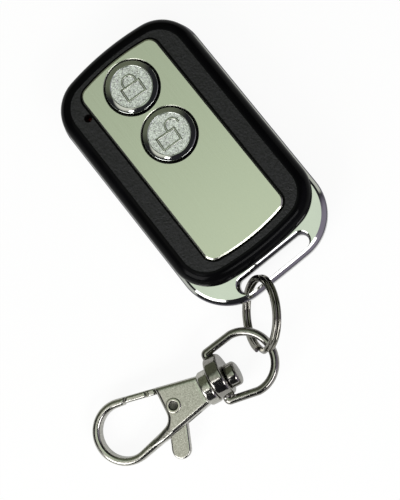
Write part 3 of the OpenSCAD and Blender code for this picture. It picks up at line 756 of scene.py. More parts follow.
@dataclass
class Casing:
    """The two shells, the chrome frame between them, the face plate and the screws, in millimetres."""

    # Shells: outline, rolled edge, lip, sunk grained face and its holes
    corner: float = 8.5
    bow: float = 60.0
    top_trim: float = 0.58
    low_reach: float = 0.2
    roll_w: float = 2.8
    roll_steps: int = 10
    land: float = 0.25
    lip_inset: float = 1.75
    lip_t: float = 1.1
    lip_h: float = 1.2
    floor_t: float = 1.2
    web_t: float = 1.2
    sink: float = 0.1
    sink_slope: float = 0.06
    hole_rim: float = 0.12
    lamp_hole: float = 1.5
    lamp_depth: float = 3.0
    lamp_steps: int = 32
    # Chrome frame: edge facets from outside in, lower end, opening for the lips, and slot
    band_side: float = 0.38
    band_top: float = 0.08
    band_edge: tuple[Point, ...] = ((0.22, 0.46), (0.5, 0.42), (0.42, 0.22))
    # Lean of the facets that get the painted shade, as a range of their normals' height
    shade_lean: Point = (0.2, 0.5)
    low_corner: float = 10.6
    low_bow: float = 400.0
    opening_inset: float = 1.6
    rail_w: float = 1.2
    rail_bevel: float = 0.15
    slot_w: float = 3.17
    slot_reach: float = 8.6
    slot_edge: tuple[Point, ...] = ((0.2, 0.107), (0.16, 0.2), (0.42, 1.0))
    edge_reach: float = 9.2
    # Face plate
    plate_corner: float = 2.4
    plate_bow: float = 45.0
    plate_edge: tuple[Point, ...] = ((0.05, 0.175), (0.3, 0.175))
    plate_gap: float = 0.28
    plate_trim: float = 0.2
    film_t: float = 0.15
    hole_r: float = 5.68
    hole_steps: int = 96
    hole_run: float = 2.0
    # Screws and their seats: head, shank and the cross in the head
    screw_head: float = 3.4
    screw_t: float = 0.9
    head_sink: float = 0.1
    head_round: float = 0.3
    shank_r: float = 0.83
    point_h: float = 1.0
    cross: tuple[float, float, float] = (2.3, 0.4, 0.9)
    cross_turn: float = 0.4
    seat_gap: float = 0.3
    seat_rim: float = 0.15
    # Outlines, levels and places that come from the frame
    button_nodes: tuple[str, str] = ("lock_button", "unlock_button")
    case: Outline = field(init=False)
    band: Outline = field(init=False)
    plate: Outline = field(init=False)
    band_low: float = field(init=False)
    band_high: float = field(init=False)
    plate_low: float = field(init=False)
    plate_high: float = field(init=False)
    top: float = field(init=False)
    rail_y: float = field(init=False)
    lamp: Point = field(init=False)
    buttons: list[Vector] = field(init=False)

    def __post_init__(self) -> None:
        """Takes the outlines and levels from the frame."""
        high = corners("rear_shell")[1]
        band_low, band_high = corners("middle_frame")
        plate_low, plate_high = corners("face_plate")
        top = high.y - self.top_trim
        self.case = Outline(high.x, EndCurve(top, self.corner, self.bow),
                            EndCurve(high.y + self.low_reach, self.corner, self.bow))
        self.band = Outline(high.x + self.band_side,
                            EndCurve(top + self.band_top, self.corner + self.band_side, self.bow),
                            EndCurve(-band_low.y, self.low_corner, self.low_bow))
        self.plate = Outline(plate_high.x,
                             EndCurve(plate_high.y - self.plate_trim, self.plate_corner, self.plate_bow),
                             EndCurve(plate_high.y, self.plate_corner, self.plate_bow))
        self.band_low, self.band_high = band_low.z, band_high.z
        self.plate_low, self.plate_high = plate_low.z, plate_high.z
        self.top = corners("front_shell")[1].z
        self.rail_y = band_low.y + self.rail_w
        lamp_low, lamp_high = corners("status_led")
        self.lamp = ((lamp_low.x + lamp_high.x) / 2, (lamp_low.y + lamp_high.y) / 2)
        self.buttons = [(corners(n)[0] + corners(n)[1]) / 2 for n in self.button_nodes]

    def build(self) -> None:
        """Builds and dresses every piece of the casing."""
        self.rear_case()
        self.chrome_band()
        self.front_case()
        self.face_panel()
        self.screws()

    def lip(self, hollow: float) -> list[Point]:
        """Works out terrace steps for a shell's lip and for the hollow inside it, of a given depth."""
        return [(self.lip_inset, 0.0), (0.0, self.lip_h), (self.lip_t, 0.0), (0.0, -self.lip_h - hollow)]

    def screw_places(self) -> list[Point]:
        """Gives the places of the four screws, from the CAD screws' box.

        Returns:
            Their places across the case.
        """
        low, high = corners("case_screws")
        reach = self.screw_head / 2
        return [(x, y) for x in (low.x + reach, high.x - reach) for y in (low.y + reach, high.y - reach)]

    def rear_case(self) -> None:
        """Rear shell: rolled edge, flat grained back, lip and cavity, with sunk screw seats."""
        under = quarter_round(self.roll_w, self.band_low - self.land, self.roll_steps)
        piece = raise_block("rear_case", self.case.points(), self.band_low - self.land, self.band_low,
                            self.lip(self.band_low - self.floor_t), under)
        steps = [*cove(self.seat_rim, self.seat_rim, RIM_STEPS), (0.0, self.screw_t - self.seat_rim)]
        for place in self.screw_places():
            seat = circle_points(place, self.screw_head / 2 + self.seat_gap, HOLE_STEPS)
            carve(piece, plunge("seat", seat, 0, steps, down=False))
        lay_finishes(piece, GLOSS_ABS, (GRAIN_ABS, lambda f: f.normal.z < -DEAD_FLAT
                                        and f.calc_center_median().z < SAME_LEVEL))
        settle(piece)
        hand_over(piece, "fob", "shell_black", GLOSS_ABS, "rear_shell")

    def front_case(self) -> None:
        """Front shell: rolled gloss edge, sunk grained face, plate recess, lip, cavity and holes."""
        level, bed = self.top - self.sink, self.plate_low - self.film_t
        roll = quarter_round(self.roll_w - self.sink, self.top - self.band_high - self.land, self.roll_steps)
        over, under = [*roll, (self.sink_slope, -self.sink)], self.lip(bed - self.web_t - self.band_high)
        piece = raise_block("front_case", self.case.points(), self.band_high, self.band_high + self.land,
                            over, under)
        rim = cove(self.hole_rim, self.hole_rim, RIM_STEPS)
        recess = plunge("recess", self.plate.points(-self.plate_gap - self.hole_rim), level,
                        [*rim, (0.0, level - self.hole_rim - bed)])
        holes = [raise_block("hole", circle_points((b.x, b.y), self.hole_r), 0, self.top + OVERSHOOT)
                 for b in self.buttons]
        ring = circle_points(self.lamp, self.lamp_hole / 2 + self.hole_rim, self.lamp_steps)
        lamp = plunge("lamp_hole", ring, level, [*rim, (0.0, self.lamp_depth)])
        carve(piece, recess, *holes, lamp)
        lay_finishes(piece, GLOSS_ABS, (GRAIN_ABS, lambda f: f.normal.z > DEAD_FLAT
                                        and abs(f.calc_center_median().z - level) < SAME_LEVEL))
        settle(piece)
        hand_over(piece, "fob", "shell_black", GLOSS_ABS, "front_shell")

    def chrome_band(self) -> None:
        """Chrome frame: bevelled rim, opening for the lips, and a slot with bevelled edges."""
        fall = sum(rise for _, rise in self.band_edge)
        piece = raise_block("chrome_band", self.band.points(), self.band_low + fall, self.band_high - fall,
                            self.band_edge, self.band_edge)
        opening = raise_block("opening", self.case.points(self.opening_inset), 0, self.top)
        high = self.rail_y + self.slot_w
        through = raise_block("slot", slot_points(self.rail_y, high, self.slot_reach), 0, self.top)
        rim = high + sum(inwards for inwards, _ in self.slot_edge)
        edge = slot_points(self.rail_y - self.rail_bevel, rim, self.edge_reach)
        upper = plunge("slot_upper", edge, self.band_high, self.slot_edge)
        lower = plunge("slot_lower", edge, self.band_low, self.slot_edge, down=False)
        carve(piece, opening, through, upper, lower)
        least, most = self.shade_lean
        # Steep facets of the rim get a dull lilac copy of the chrome: painted shade.
        lay_finishes(piece, CHROME, (CHROME_SHADED_FACET, lambda f: least < abs(f.normal.z) < most))
        settle(piece)
        hand_over(piece, "fob", "frame_chrome", CHROME, "middle_frame", crease=8)

    def face_panel(self) -> None:
        """Face plate: satin sheet with coined bevels round its edge and its two holes."""
        width, fall = (sum(step[i] for step in self.plate_edge) for i in (0, 1))
        piece = raise_block("face_panel", self.plate.points(), self.plate_low, self.plate_high - fall,
                            self.plate_edge)
        steps = [*reversed(self.plate_edge), (0.0, self.hole_run)]
        for button in self.buttons:
            ring = circle_points((button.x, button.y), self.hole_r + width, self.hole_steps)
            carve(piece, plunge("hole", ring, self.plate_high, steps))
        settle(piece)
        hand_over(piece, "fob", "plate_satin", PLATE, "face_plate", crease=20)

    def screws(self) -> None:
        """Case screws: one turned screw with a cross in its head, copied to the four seats."""
        low, high = corners("case_screws")
        face, neck, reach = low.z + self.head_sink, low.z + self.screw_t, self.screw_head / 2
        path = [(0, face, 0), (reach, face, self.head_round), (reach, neck, 0), (self.shank_r, neck, 0),
                (self.shank_r, high.z - self.point_h, 0), (0, high.z, 0)]
        first = lathe("case_screw_1", soften(path), HOLE_STEPS)
        for turn in (0, math.pi / 2):
            carve(first, add_object("cross", bpy.ops.mesh.primitive_cube_add, size=1, scale=self.cross,
                                    location=(0, 0, low.z), rotation=(0, 0, turn + self.cross_turn)))
        places = self.screw_places()
        copies = [first]
        for number in range(2, len(places) + 1):
            copy = first.copy()
            copy.data = first.data.copy()
            copy.name = f"case_screw_{number}"
            bpy.context.collection.objects.link(copy)
            copies.append(copy)
        for screw, (x, y) in zip(copies, places):
            settle(screw, Matrix.Translation((x, y, 0)))
            hand_over(screw, "fob", "screw_steel", SCREW_STEEL)
        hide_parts("case_screws")


class Shackle(Enum):
    """How a padlock sign's shackle stands."""

    SHUT = "shut"
    OPEN = "open"


@dataclass
class PushButton:
    """A turned button with a chrome bevel, a flaked field and a raised padlock sign, in millimetres."""

    node: str
    shackle: Shackle
    # Cap: foot, flange, bevel and sunk field
    foot_r: float = 1.7
    foot_h: float = 0.37
    flange_lip: float = 0.35
    flange_t: float = 0.7
    shadow_gap: float = 0.12
    bevel_w: float = 1.3
    bevel_h: float = 0.33
    bevel_round: float = 0.12
    # How far below the bevel the skirt's painted shade starts
    skirt_shade_drop: float = 0.1
    rim_w: float = 0.1
    field_d: float = 0.12
    field_round: float = 0.05
    turn_steps: int = 96
    # Sign: the padlock's body, and its shackle shut or open
    sign_w: float = 4.7
    sign_h: float = 3.2
    sign_low: float = -2.524
    sign_sink: float = 0.02
    line: float = 0.52
    line_edge: float = 0.208
    line_steps: int = 4
    relief: float = 0.24
    arch_r: float = 1.479
    arch_rise: float = 0.35
    arch_round: float = 0.2
    arch_steps: int = 20
    leg: float = 0.5
    shut_swing: float = 0.15
    open_leg: float = 0.1
    open_shift: float = -0.6
    open_swing: float = 2.1
    turn: float = math.radians(-4)
    # Place and height of the field, which come from the frame
    place: Matrix = field(init=False)
    field_z: float = field(init=False)

    def build(self) -> None:
        """Builds the cap and its sign at the CAD button's place."""
        low, high = corners(self.node)
        self.place = Matrix.Translation(((low.x + high.x) / 2, (low.y + high.y) / 2, 0))
        self.field_z = high.z - self.field_d
        self.cap(low, high)
        self.sign()

    def cap(self, low: Vector, high: Vector) -> None:
        """Turns the cap, lacquers its field and paints its skirt gloss black: painted shade in the gap under
        the plate.

        Args:
            low: Lowest corner of the CAD button.
            high: Its highest corner.
        """
        flange = (high.x - low.x) / 2
        radius = flange - self.flange_lip - self.shadow_gap
        inner = radius - self.bevel_w + self.shadow_gap
        seat = low.z + self.foot_h
        shoulder, bevel_z = seat + self.flange_t, high.z - self.bevel_h
        path = [(0, low.z, 0), (self.foot_r, low.z, 0), (self.foot_r, seat, 0), (flange, seat, 0),
                (flange, shoulder, 0), (radius, shoulder, 0), (radius, bevel_z, self.bevel_round),
                (inner + self.rim_w, high.z, self.rim_w), (inner, self.field_z, self.field_round),
                (0, self.field_z, 0)]
        piece = lathe(f"{self.node}_cap", soften(path), self.turn_steps)
        lay_finishes(piece, BUTTON_CHROME,
                     (FLAKE, lambda f: f.normal.z > FLAT
                      and f.calc_center_median().z > self.field_z - self.field_round),
                     # Below the bevel the chrome cap is coloured gloss black: painted shade in the gap under
                     # the plate
                     (GLOSS_ABS, lambda f: f.calc_center_median().z < bevel_z - self.skirt_shade_drop))
        settle(piece, self.place)
        hand_over(piece, self.node, "button_silver", BUTTON_CHROME, self.node)

    def sign(self) -> None:
        """Raises the padlock's body and shackle from the field."""
        opened = self.shackle is Shackle.OPEN
        shift = self.open_shift if opened else 0.0
        level = self.field_z - self.sign_sink
        body = add_object(f"{self.node}_sign", bpy.ops.mesh.primitive_plane_add, size=1)
        with editing(body):
            bpy.ops.mesh.select_all(action="SELECT")
            bpy.ops.transform.resize(value=(self.sign_w, self.sign_h, 1))
            bpy.ops.transform.translate(value=(shift, self.sign_low + self.sign_h / 2, level))
            bpy.ops.mesh.inset(thickness=self.line, use_boundary=True)
            bpy.ops.mesh.delete(type="FACE")
            bpy.ops.mesh.select_all(action="SELECT")
            bpy.ops.mesh.extrude_region_move(TRANSFORM_OT_translate={"value": (0, 0, self.relief)})
            bpy.ops.mesh.bevel(offset=self.line_edge, segments=self.line_steps, affect="EDGES")
            bpy.ops.mesh.select_all(action="SELECT")
            bpy.ops.mesh.normals_make_consistent(inside=False)
        arch = self.arch(shift + (self.open_swing if opened else self.shut_swing),
                         self.open_leg if opened else self.leg, level)
        take_up(body)
        arch.select_set(True)
        bpy.ops.object.join()
        settle(body, self.place @ Matrix.Rotation(self.turn, 4, "Z"))
        hand_over(body, self.node, "button_silver", SIGN_SILVER)

    def arch(self, middle: float, near_leg: float, level: float) -> bpy.types.Object:
        """Sweeps the shackle's ridge from its right leg over to its left one.

        Args:
            middle: Where the arch stands along the padlock's body.
            near_leg: Length of its right leg.
            level: Height of its foot.

        Returns:
            The closed ridge.
        """
        half = self.line / 2
        centre = (middle, self.sign_low + self.sign_h + self.arch_rise, 0)
        ridge = soften([(-half, 0, 0), (half, 0, 0), (half, self.relief, self.arch_round),
                        (-half, self.relief, self.arch_round)])
        bow = Sweep("arch", [Vector((middle + self.arch_r + x, centre[1] - near_leg, level + z))
                             for x, z in ridge])
        bow.run((0, near_leg, 0))
        bow.turn(math.pi, centre, (0, 0, 1), self.arch_steps)
        bow.run((0, -self.leg, 0))
        return bow.close()


@dataclass
class KeyLoop:
    """Two-turn split ring, in millimetres."""

    outer: float = 8.0
    wire_w: float = 1.35
    wire_t: float = 0.8
    gap: float = 0.06
    step: float = math.radians(40)
    power: float = 2.6
    sides: int = 28
    turn_steps: int = 110
    step_steps: int = 10

    def build(self) -> None:
        """Winds the wire in the ring's own frame and lays it where the eye hangs on it."""
        low, high = corners("split_ring")
        near, axis = joint("eye_swing")
        centre = (low + high) / 2
        across = -axis
        towards = (near - centre).normalized()
        normal = across.cross(towards).normalized()
        middle = self.outer - self.wire_w / 2
        pitch = self.wire_t + self.gap
        start = math.pi / 2 - self.step / 2
        spoke = Vector((math.cos(start), math.sin(start), 0))
        section = []
        for i in range(self.sides):
            angle = 2 * math.pi * i / self.sides
            wide, tall = (math.copysign(abs(v) ** (2 / self.power), v)
                          for v in (math.cos(angle), math.sin(angle)))
            section.append(spoke * (middle + wide * self.wire_w / 2)
                           + Vector((0, 0, pitch / 2 + tall * self.wire_t / 2)))
        wire = Sweep("key_loop", section)
        hub, down = (0, 0, 0), (0, 0, -1)
        shares = [i / self.step_steps for i in range(self.step_steps + 1)]
        levels = [-pitch * u * u * (3 - 2 * u) for u in shares]
        wire.turn(2 * math.pi - self.step, hub, down, self.turn_steps)
        wire.turn(self.step, hub, down, 0, [b - a for a, b in zip(levels, levels[1:])])
        wire.turn(2 * math.pi - self.step, hub, down, self.turn_steps)
        piece = wire.close()
        place = Matrix((across, normal.cross(across), normal)).transposed().to_4x4()
        settle(piece, Matrix.Translation(centre) @ place)
        hand_over(piece, "ring", "ring_nickel", RING_NICKEL, "split_ring", crease=50)


@dataclass
class SwivelClasp:
    """Swivel eye, its post, and the cast clasp with its gate, lever, rivet and spring, in millimetres."""

    # Eye: bent bar, elbows, round base and its bore
    bar_r: float = 0.9
    bar_sides: int = 28
    bow_r: float = 6.35
    bow_x: float = 16.68
    bow_steps: int = 48
    elbow_half: float = 5.42
    elbow: float = 0.5
    elbow_steps: int = 10
    arm_x: float = 10.23
    arm_root: float = 1.5
    base_r: float = 4.5
    base_x: float = 9.28
    base_t: float = 3.1
    base_round: float = 0.45
    swivel_gap: float = 0.08
    eye_offset: float = 1.0
    eye_passes: int = 18
    # Post and collar
    post_r: float = 1.5
    post_x: float = 5.9
    head_r: float = 2.575
    head_x: float = 12.46
    head_t: float = 2.3
    head_edge: float = 0.3
    head_dome: float = 0.7
    dome_steps: int = 6
    collar_r: float = 3.7
    collar_x: float = 6.8
    collar_t: float = 2.4
    collar_round: float = 0.4
    collar_root: float = 0.3
    socket_l: float = 6.0
    # Body and hook
    body_t: float = 4.6
    body_back: float = 2.2
    edge_round: float = 0.8
    end_x: float = 8.0
    end_half: float = 2.85
    hook_r: float = 7.0
    hook_x: float = 12.3
    hook_bar: float = 1.8
    hook_t: float = 3.2
    hook_round: float = 0.85
    hook_steps: int = 56
    hook_flare: float = 1.2
    low_flare: float = -1.2
    hook_fillet: float = 2.6
    fillet_steps: int = 12
    hair: float = 0.03
    run_out: float = 9.0
    tail_x: float = -5.5
    tail_inner: float = 0.45
    tail_outer: float = 0.55
    tail_sink: float = 0.1
    waist_gap: float = 0.3
    body_passes: int = 20
    # Gate with its knuckle, blade, web and lever, and the slot that it moves in
    gate_t: float = 1.6
    gate_slot: float = 1.8
    slot_left: float = 4.7
    slot_right: float = 4.0
    gate_w: float = 1.4
    gate_reach: float = 10.76
    gate_skin: float = 0.2
    gate_round: float = 0.45
    gate_edge: float = 0.3
    gate_passes: int = 12
    gate_voxel: float = 0.1
    tip_gap: float = 0.22
    tip_steps: int = 3
    knuckle_gap: float = 0.3
    knuckle_end: float = 4.1
    knuckle_groove: float = 0.35
    blade_back: float = 0.3
    blade_overlap: float = 1.5
    blade_skin: float = 0.05
    web_drop: float = 2.1
    web_skin: float = 0.02
    hub_r: float = 2.2
    lever_dir: float = math.radians(249.5)
    lever_reach: float = 9.15
    lever_w: float = 4.0
    lever_steps: int = 24
    # Hinge rivet
    pin_r: float = 1.0
    pin_gap: float = 0.05
    pin_head_r: float = 1.6
    pin_head_t: float = 0.35
    pin_back_round: float = 0.2
    pin_front_round: float = 0.25
    dimple_round: float = 0.15
    dimple_r: float = 0.86
    dimple_d: float = 0.35
    dimple_foot: float = 0.1
    dimple_middle: float = 0.45
    # Reach and lean of the dimple's faces that get the painted shade
    dimple_shade_r: float = 0.93
    dimple_lean: float = 0.1
    pin_steps: int = 48
    # Spring and its pocket
    spring_r: float = 0.625
    spring_wire: float = 0.25
    spring_pitch: float = 0.68
    spring_turns: int = 5
    spring_y: float = -2.0
    spring_seat: float = 5.6
    spring_keep: float = 0.8
    wire_sides: int = 10
    coil_steps: int = 24
    pocket_gap: float = 0.08
    pocket_lead: float = 0.1
    # Gap of a press fit, and grid of the two larger castings
    fit: float = 0.02
    voxel: float = 0.11
    # Place of the clasp's own frame, and the turn that lays a lathe's axis along it
    place: Matrix = field(init=False)
    lie_along: Matrix = field(init=False)

    def build(self) -> None:
        """Builds every piece in the clasp's own frame: x along the swivel, z out of the broad face."""
        origin, along = joint("clasp_swivel")
        out = joint("gate_open")[1]
        across = out.cross(along).normalized()
        turn = Matrix((along, across, along.cross(across))).transposed().to_4x4()
        self.place = Matrix.Translation(origin) @ turn
        self.lie_along = Matrix.Rotation(math.pi / 2, 4, "Y")
        self.eye()
        self.post()
        self.casting()
        self.gate()
        self.rivet()
        self.spring()

    def drum(self, name: str, start: float, length: float, radius: float,
             round_off: float = 0.0) -> bpy.types.Object:
        """Turns a drum along the swivel axis.

        Args:
            name: Name of the object.
            start: Where it starts along the axis.
            length: Its length.
            radius: Its radius.
            round_off: Radius of its two edges.

        Returns:
            The drum, in the clasp's frame.
        """
        end = start + length
        piece = lathe(name, soften([(0, start, 0), (radius, start, round_off), (radius, end, round_off),
                                    (0, end, 0)]))
        take_up(piece)
        piece.matrix_world = self.lie_along
        bpy.context.view_layer.update()
        bpy.ops.object.transform_apply(location=True, rotation=True, scale=True)
        return piece

    def eye(self) -> None:
        """D-shaped eye: a bent bar whose arms run into a round base with a bore."""
        inner = self.elbow_half - self.elbow
        start = self.arm_x + self.elbow
        reach, flare = self.bow_x - start, self.bow_r - self.elbow_half
        up = (0, 0, 1)
        bar = Sweep("swivel_d_eye", [Vector((self.arm_x + x, self.arm_root - inner, z))
                                     for x, z in circle_points((0, 0), self.bar_r, self.bar_sides)])
        bar.run((0, -self.arm_root, 0))
        bar.turn(math.pi / 2, (start, -inner, 0), up, self.elbow_steps)
        bar.run((reach, -flare, 0))
        bar.turn(math.pi, (self.bow_x, 0, 0), up, self.bow_steps)
        bar.run((-reach, -flare, 0))
        bar.turn(math.pi / 2, (start, inner, 0), up, self.elbow_steps)
        bar.run((0, -self.arm_root, 0))
        piece = bar.close()
        base = self.drum("base", self.base_x, self.base_t, self.base_r, self.base_round)
        for part in (piece, base):
            take_up(part)
            part.location = (0, self.eye_offset, 0)
            bpy.ops.object.transform_apply(location=True)
        carve(base, self.drum("bore", self.base_x - OVERSHOOT, self.base_t + 2 * OVERSHOOT,
                              self.post_r + self.swivel_gap))
        cast(piece, [base], self.voxel, self.eye_passes)
        settle(piece, self.place)
        # The eye's nickel is coloured darker than the casting's: painted shade.
        hand_over(piece, "eye", "clasp_nickel", EYE_NICKEL_SHADED, "swivel_eye", crease=0)

    def post(self) -> None:
        """Swivel post: a rod from the collar with a domed rivet head inside the eye."""
        end = self.head_x + self.head_t
        path = [(0, self.post_x, 0), (self.post_r, self.post_x, 0), (self.post_r, self.head_x, 0),
                (self.head_r, self.head_x, self.head_edge), (self.head_r, end, self.head_dome), (0, end, 0)]
        piece = lathe("swivel_post", soften(path, self.dome_steps))
        settle(piece, self.place @ self.lie_along)
        # The post shares the eye's darker nickel: painted shade.
        hand_over(piece, "clasp", "rivet_nickel", EYE_NICKEL_SHADED, "swivel_rivet")

    def tangent(self, radius: float, half: float) -> tuple[float, Point]:
        """Works out where the body's straight upper edge touches the hook's round end.

        Args:
            radius: Radius of the round end.
            half: Half width of the body at the collar.

        Returns:
            Angle of the touching point on the round end, and the point.
        """
        reach = self.end_x + self.hook_x
        angle = math.atan2(half, reach) + math.acos(radius / math.hypot(reach, half))
        return angle, (radius * math.cos(angle) - self.hook_x, radius * math.sin(angle))

    def edge_line(self, radius: float, half: float) -> tuple[float, float, float]:
        """Works out a straight edge that runs from the collar to a round end about the hook's middle.

        Args:
            radius: Radius of the round end.
            half: Height of the edge at the collar.

        Returns:
            Its height above the pin, how fast it climbs towards the hook, and the angle where it
            meets the round end.
        """
        angle, (x, y) = self.tangent(radius, half)
        slope = (y - half) / (self.end_x - x)
        return half + slope * self.end_x, slope, angle

    def line(self, shrink: float) -> tuple[float, float]:
        """Gives the height and the climb of the body's straight upper edge, or of a line inside it."""
        return self.edge_line(self.hook_r - shrink, self.end_half - shrink)[:2]

    def inner_line(self, flare: float) -> tuple[float, float, float]:
        """Gives an edge of the opening, above or mirrored below, that a flare spreads at the collar."""
        return self.edge_line(self.hook_r - self.hook_bar, self.end_half - self.hook_bar + flare)

    def drop(self) -> list[Point]:
        """Works out the drop shape of the clasp, from the collar to the hook's round end.

        Returns:
            The points, turning left.
        """
        angle = self.tangent(self.hook_r, self.end_half)[0]
        round_end = arc((-self.hook_x, 0), self.hook_r, angle, 2 * math.pi - angle, self.hook_steps)
        return [(self.end_x, -self.end_half), (self.end_x, self.end_half), *round_end]

    def fillet(self, grow: float) -> list[Point]:
        """Works out the round inner corner between the body and the hook's lower bar.

        Args:
            grow: How far it is grown.

        Returns:
            The points from the bar to the body.
        """
        start, slope = self.inner_line(self.low_flare)[:2]
        mid_x = -self.body_back - self.hook_fillet
        mid_y = self.hook_fillet * math.hypot(1, slope) - start + slope * mid_x
        return arc((mid_x, mid_y), self.hook_fillet + grow, math.atan2(-1, slope), 0, self.fillet_steps)

    def window(self, grow: float) -> list[Point]:
        """Works out the hook's opening, grown by a distance.

        Args:
            grow: How far it is grown.

        Returns:
            The points, turning left.
        """
        start, slope, first = self.inner_line(self.hook_flare)
        last = 2 * math.pi - self.inner_line(self.low_flare)[2]
        corner = (grow - self.body_back, start + slope * self.body_back + grow)
        radius = self.hook_r - self.hook_bar + grow
        return [*self.fillet(grow), corner, *arc((-self.hook_x, 0), radius, first, last, self.hook_steps)]

    def body_points(self) -> list[Point]:
        """Works out the thick body, which runs out along the hook's lower bar.

        Returns:
            The points, turning left, a hair outside the hook's so that the two join cleanly.
        """
        start, slope = self.line(0.0)
        start += self.hair
        inner, climb = self.inner_line(self.low_flare)[:2]
        right, end, left = self.collar_x + self.collar_root, -self.run_out, -self.body_back - self.hair
        return [(right, slope * right - start), (right, start - slope * right), (left, start - slope * left),
                *reversed(self.fillet(-self.hair)), (end, climb * end - inner - self.tail_inner),
                (end, slope * end - start + self.tail_outer), (self.tail_x, slope * self.tail_x - start)]

    def thick_body(self) -> bpy.types.Object:
        """Makes the thick body, whose tail thins down to the hook's bar beyond the waist.

        Returns:
            The block, in the clasp's frame.
        """
        rise = self.body_t / 2 - self.edge_round
        roll = quarter_round(self.edge_round, self.edge_round)
        body = raise_block("body", self.body_points(), -rise, rise, roll, roll)
        waist = -self.body_back - self.waist_gap
        with editing(body):
            bpy.ops.mesh.select_all(action="SELECT")
            bpy.ops.mesh.bisect(plane_co=(waist, 0, 0), plane_no=(1, 0, 0))
        thin = (1 - (self.hook_t - self.tail_sink) / self.body_t) / (self.run_out + waist)
        for vertex in body.data.vertices:
            vertex.co.z *= 1 - thin * max(0.0, waist - vertex.co.x)
        return body

    def bore(self, gap: float) -> bpy.types.Object:
        """Makes the cutter for the hinge rivet's hole, with a gap round the rivet."""
        ring = circle_points((0, 0), self.pin_r + gap, HOLE_STEPS)
        return raise_block("bore", ring, -self.body_t, self.body_t)

    def casting(self) -> None:
        """Clasp body: rounded hook and thicker body in one casting with its collar, slotted for the gate."""
        roll = quarter_round(self.hook_round, self.hook_round)
        rise = self.hook_t / 2 - self.hook_round
        piece = raise_block("clasp_casting", self.drop(), -rise, rise, roll, roll)
        steps = [*cove(self.edge_round, self.edge_round), (0.0, self.hook_t)]
        window = self.window(self.edge_round)
        for side in (1, -1):
            carve(piece, plunge("window", window, side * self.hook_t / 2, steps, side > 0))
        reach = self.gate_reach + self.tip_gap
        first = math.acos(-self.body_back / reach)
        sector = [(-self.body_back, 0), *arc((0, 0), reach, first, math.pi, HOLE_STEPS)]
        carve(piece, raise_block("gate_room", sector, -self.body_t, self.body_t))
        body = self.thick_body()
        collar = self.drum("collar", self.collar_x, self.collar_t, self.collar_r, self.collar_round)
        left, right, reach = -self.slot_left, self.slot_right, self.hook_r + OVERSHOOT
        wall = [(right, -reach), (right, reach), (left, reach), (left, -reach)]
        for part in (piece, body):
            slot = raise_block("slot", wall, -self.gate_slot / 2, self.gate_slot / 2)
            carve(part, slot, self.bore(self.fit))
        start = self.slot_right - self.pocket_lead
        pocket = self.drum("pocket", start, self.spring_seat - start,
                           self.spring_r + self.spring_wire / 2 + self.pocket_gap)
        pocket.location = (0, self.spring_y, 0)
        carve(body, pocket)
        for part in (piece, body, collar):
            carve(part, self.drum("socket", self.post_x - self.fit, self.socket_l, self.post_r + self.fit))
        cast(piece, [body, collar], self.voxel, self.body_passes)
        settle(piece, self.place)
        hand_over(piece, "clasp", "clasp_nickel", CAST_NICKEL, "clasp_body", crease=0)

    def gate_bar(self, back: float, front: float | None = None) -> list[Point]:
        """Works out a length of the gate's bar along the clasp's upper edge.

        Args:
            back: Distance from the pin to the end by the body.
            front: Distance to the other end; without it the bar goes to its round tip.

        Returns:
            The points, turning left.
        """
        lines = []
        for shrink in (0.0, self.gate_w):
            start, slope = self.line(shrink)
            a, b, c = 1 + slope ** 2, -2 * slope * start, start ** 2 - self.gate_reach ** 2
            tip = -front if front else (-b - math.sqrt(b * b - 4 * a * c)) / (2 * a)
            lines.append(((-back, start + slope * back), (tip, start - slope * tip)))
        outer, inner = lines
        if front:
            return [inner[0], outer[0], outer[1], inner[1]]
        first, last = (math.atan2(p[1], p[0]) for p in (outer[1], inner[1]))
        return [inner[0], outer[0], *arc((0, 0), self.gate_reach, first, last, self.tip_steps)]

    def lever_points(self) -> list[Point]:
        """Works out the thumb lever, a strip from the pin to a round end.

        Returns:
            The points, turning left.
        """
        half = self.lever_w / 2
        end = arc((self.lever_reach, 0), half, -math.pi / 2, math.pi / 2, self.lever_steps)
        flat = [(0, -half), *end, (0, half)]
        cos, sin = math.cos(self.lever_dir), math.sin(self.lever_dir)
        return [(x * cos - y * sin, x * sin + y * cos) for x, y in flat]

    def gate(self) -> None:
        """Gate: a bar with a knuckle and a thumb lever, one bell crank on the rivet."""
        thick, thin = self.hook_t / 2 - self.gate_skin, self.gate_t / 2
        roll = quarter_round(self.gate_edge, self.gate_edge, RIM_STEPS)
        bar = self.gate_bar(self.knuckle_end + self.knuckle_groove)
        piece = self.gate_block("spring_gate", bar, thick, quarter_round(self.gate_round, self.gate_round))
        bar = self.gate_bar(self.body_back + self.knuckle_gap, self.knuckle_end)
        knuckle = self.gate_block("knuckle", bar, thick, roll)
        bar = self.gate_bar(self.blade_back, self.knuckle_end + self.blade_overlap)
        blade = self.gate_block("blade", bar, thin - self.blade_skin)
        hub = self.gate_block("hub", circle_points((0, 0), self.hub_r), thin, roll)
        corner = (-self.body_back, self.hook_r - self.web_drop)
        web = self.gate_block("web", [(0, 0), (0, self.hub_r), corner, (-self.hub_r, 0)],
                              thin - self.web_skin)
        lever = self.gate_block("lever", self.lever_points(), thin, roll)
        for part in (hub, web, lever):
            carve(part, self.bore(self.pin_gap))
        cast(piece, [knuckle, blade, hub, web, lever], self.gate_voxel, self.gate_passes)
        settle(piece, self.place)
        hand_over(piece, "gate", "clasp_nickel", CAST_NICKEL, "clasp_gate", crease=0)

    def gate_block(self, name: str, points: Sequence[Point], half: float,
                   roll: Sequence[Point] = ()) -> bpy.types.Object:
        """Makes a block of the gate that reaches half its thickness to both sides, with rolled edges."""
        rise = half - sum(step[1] for step in roll)
        return raise_block(name, points, -rise, rise, roll, roll)

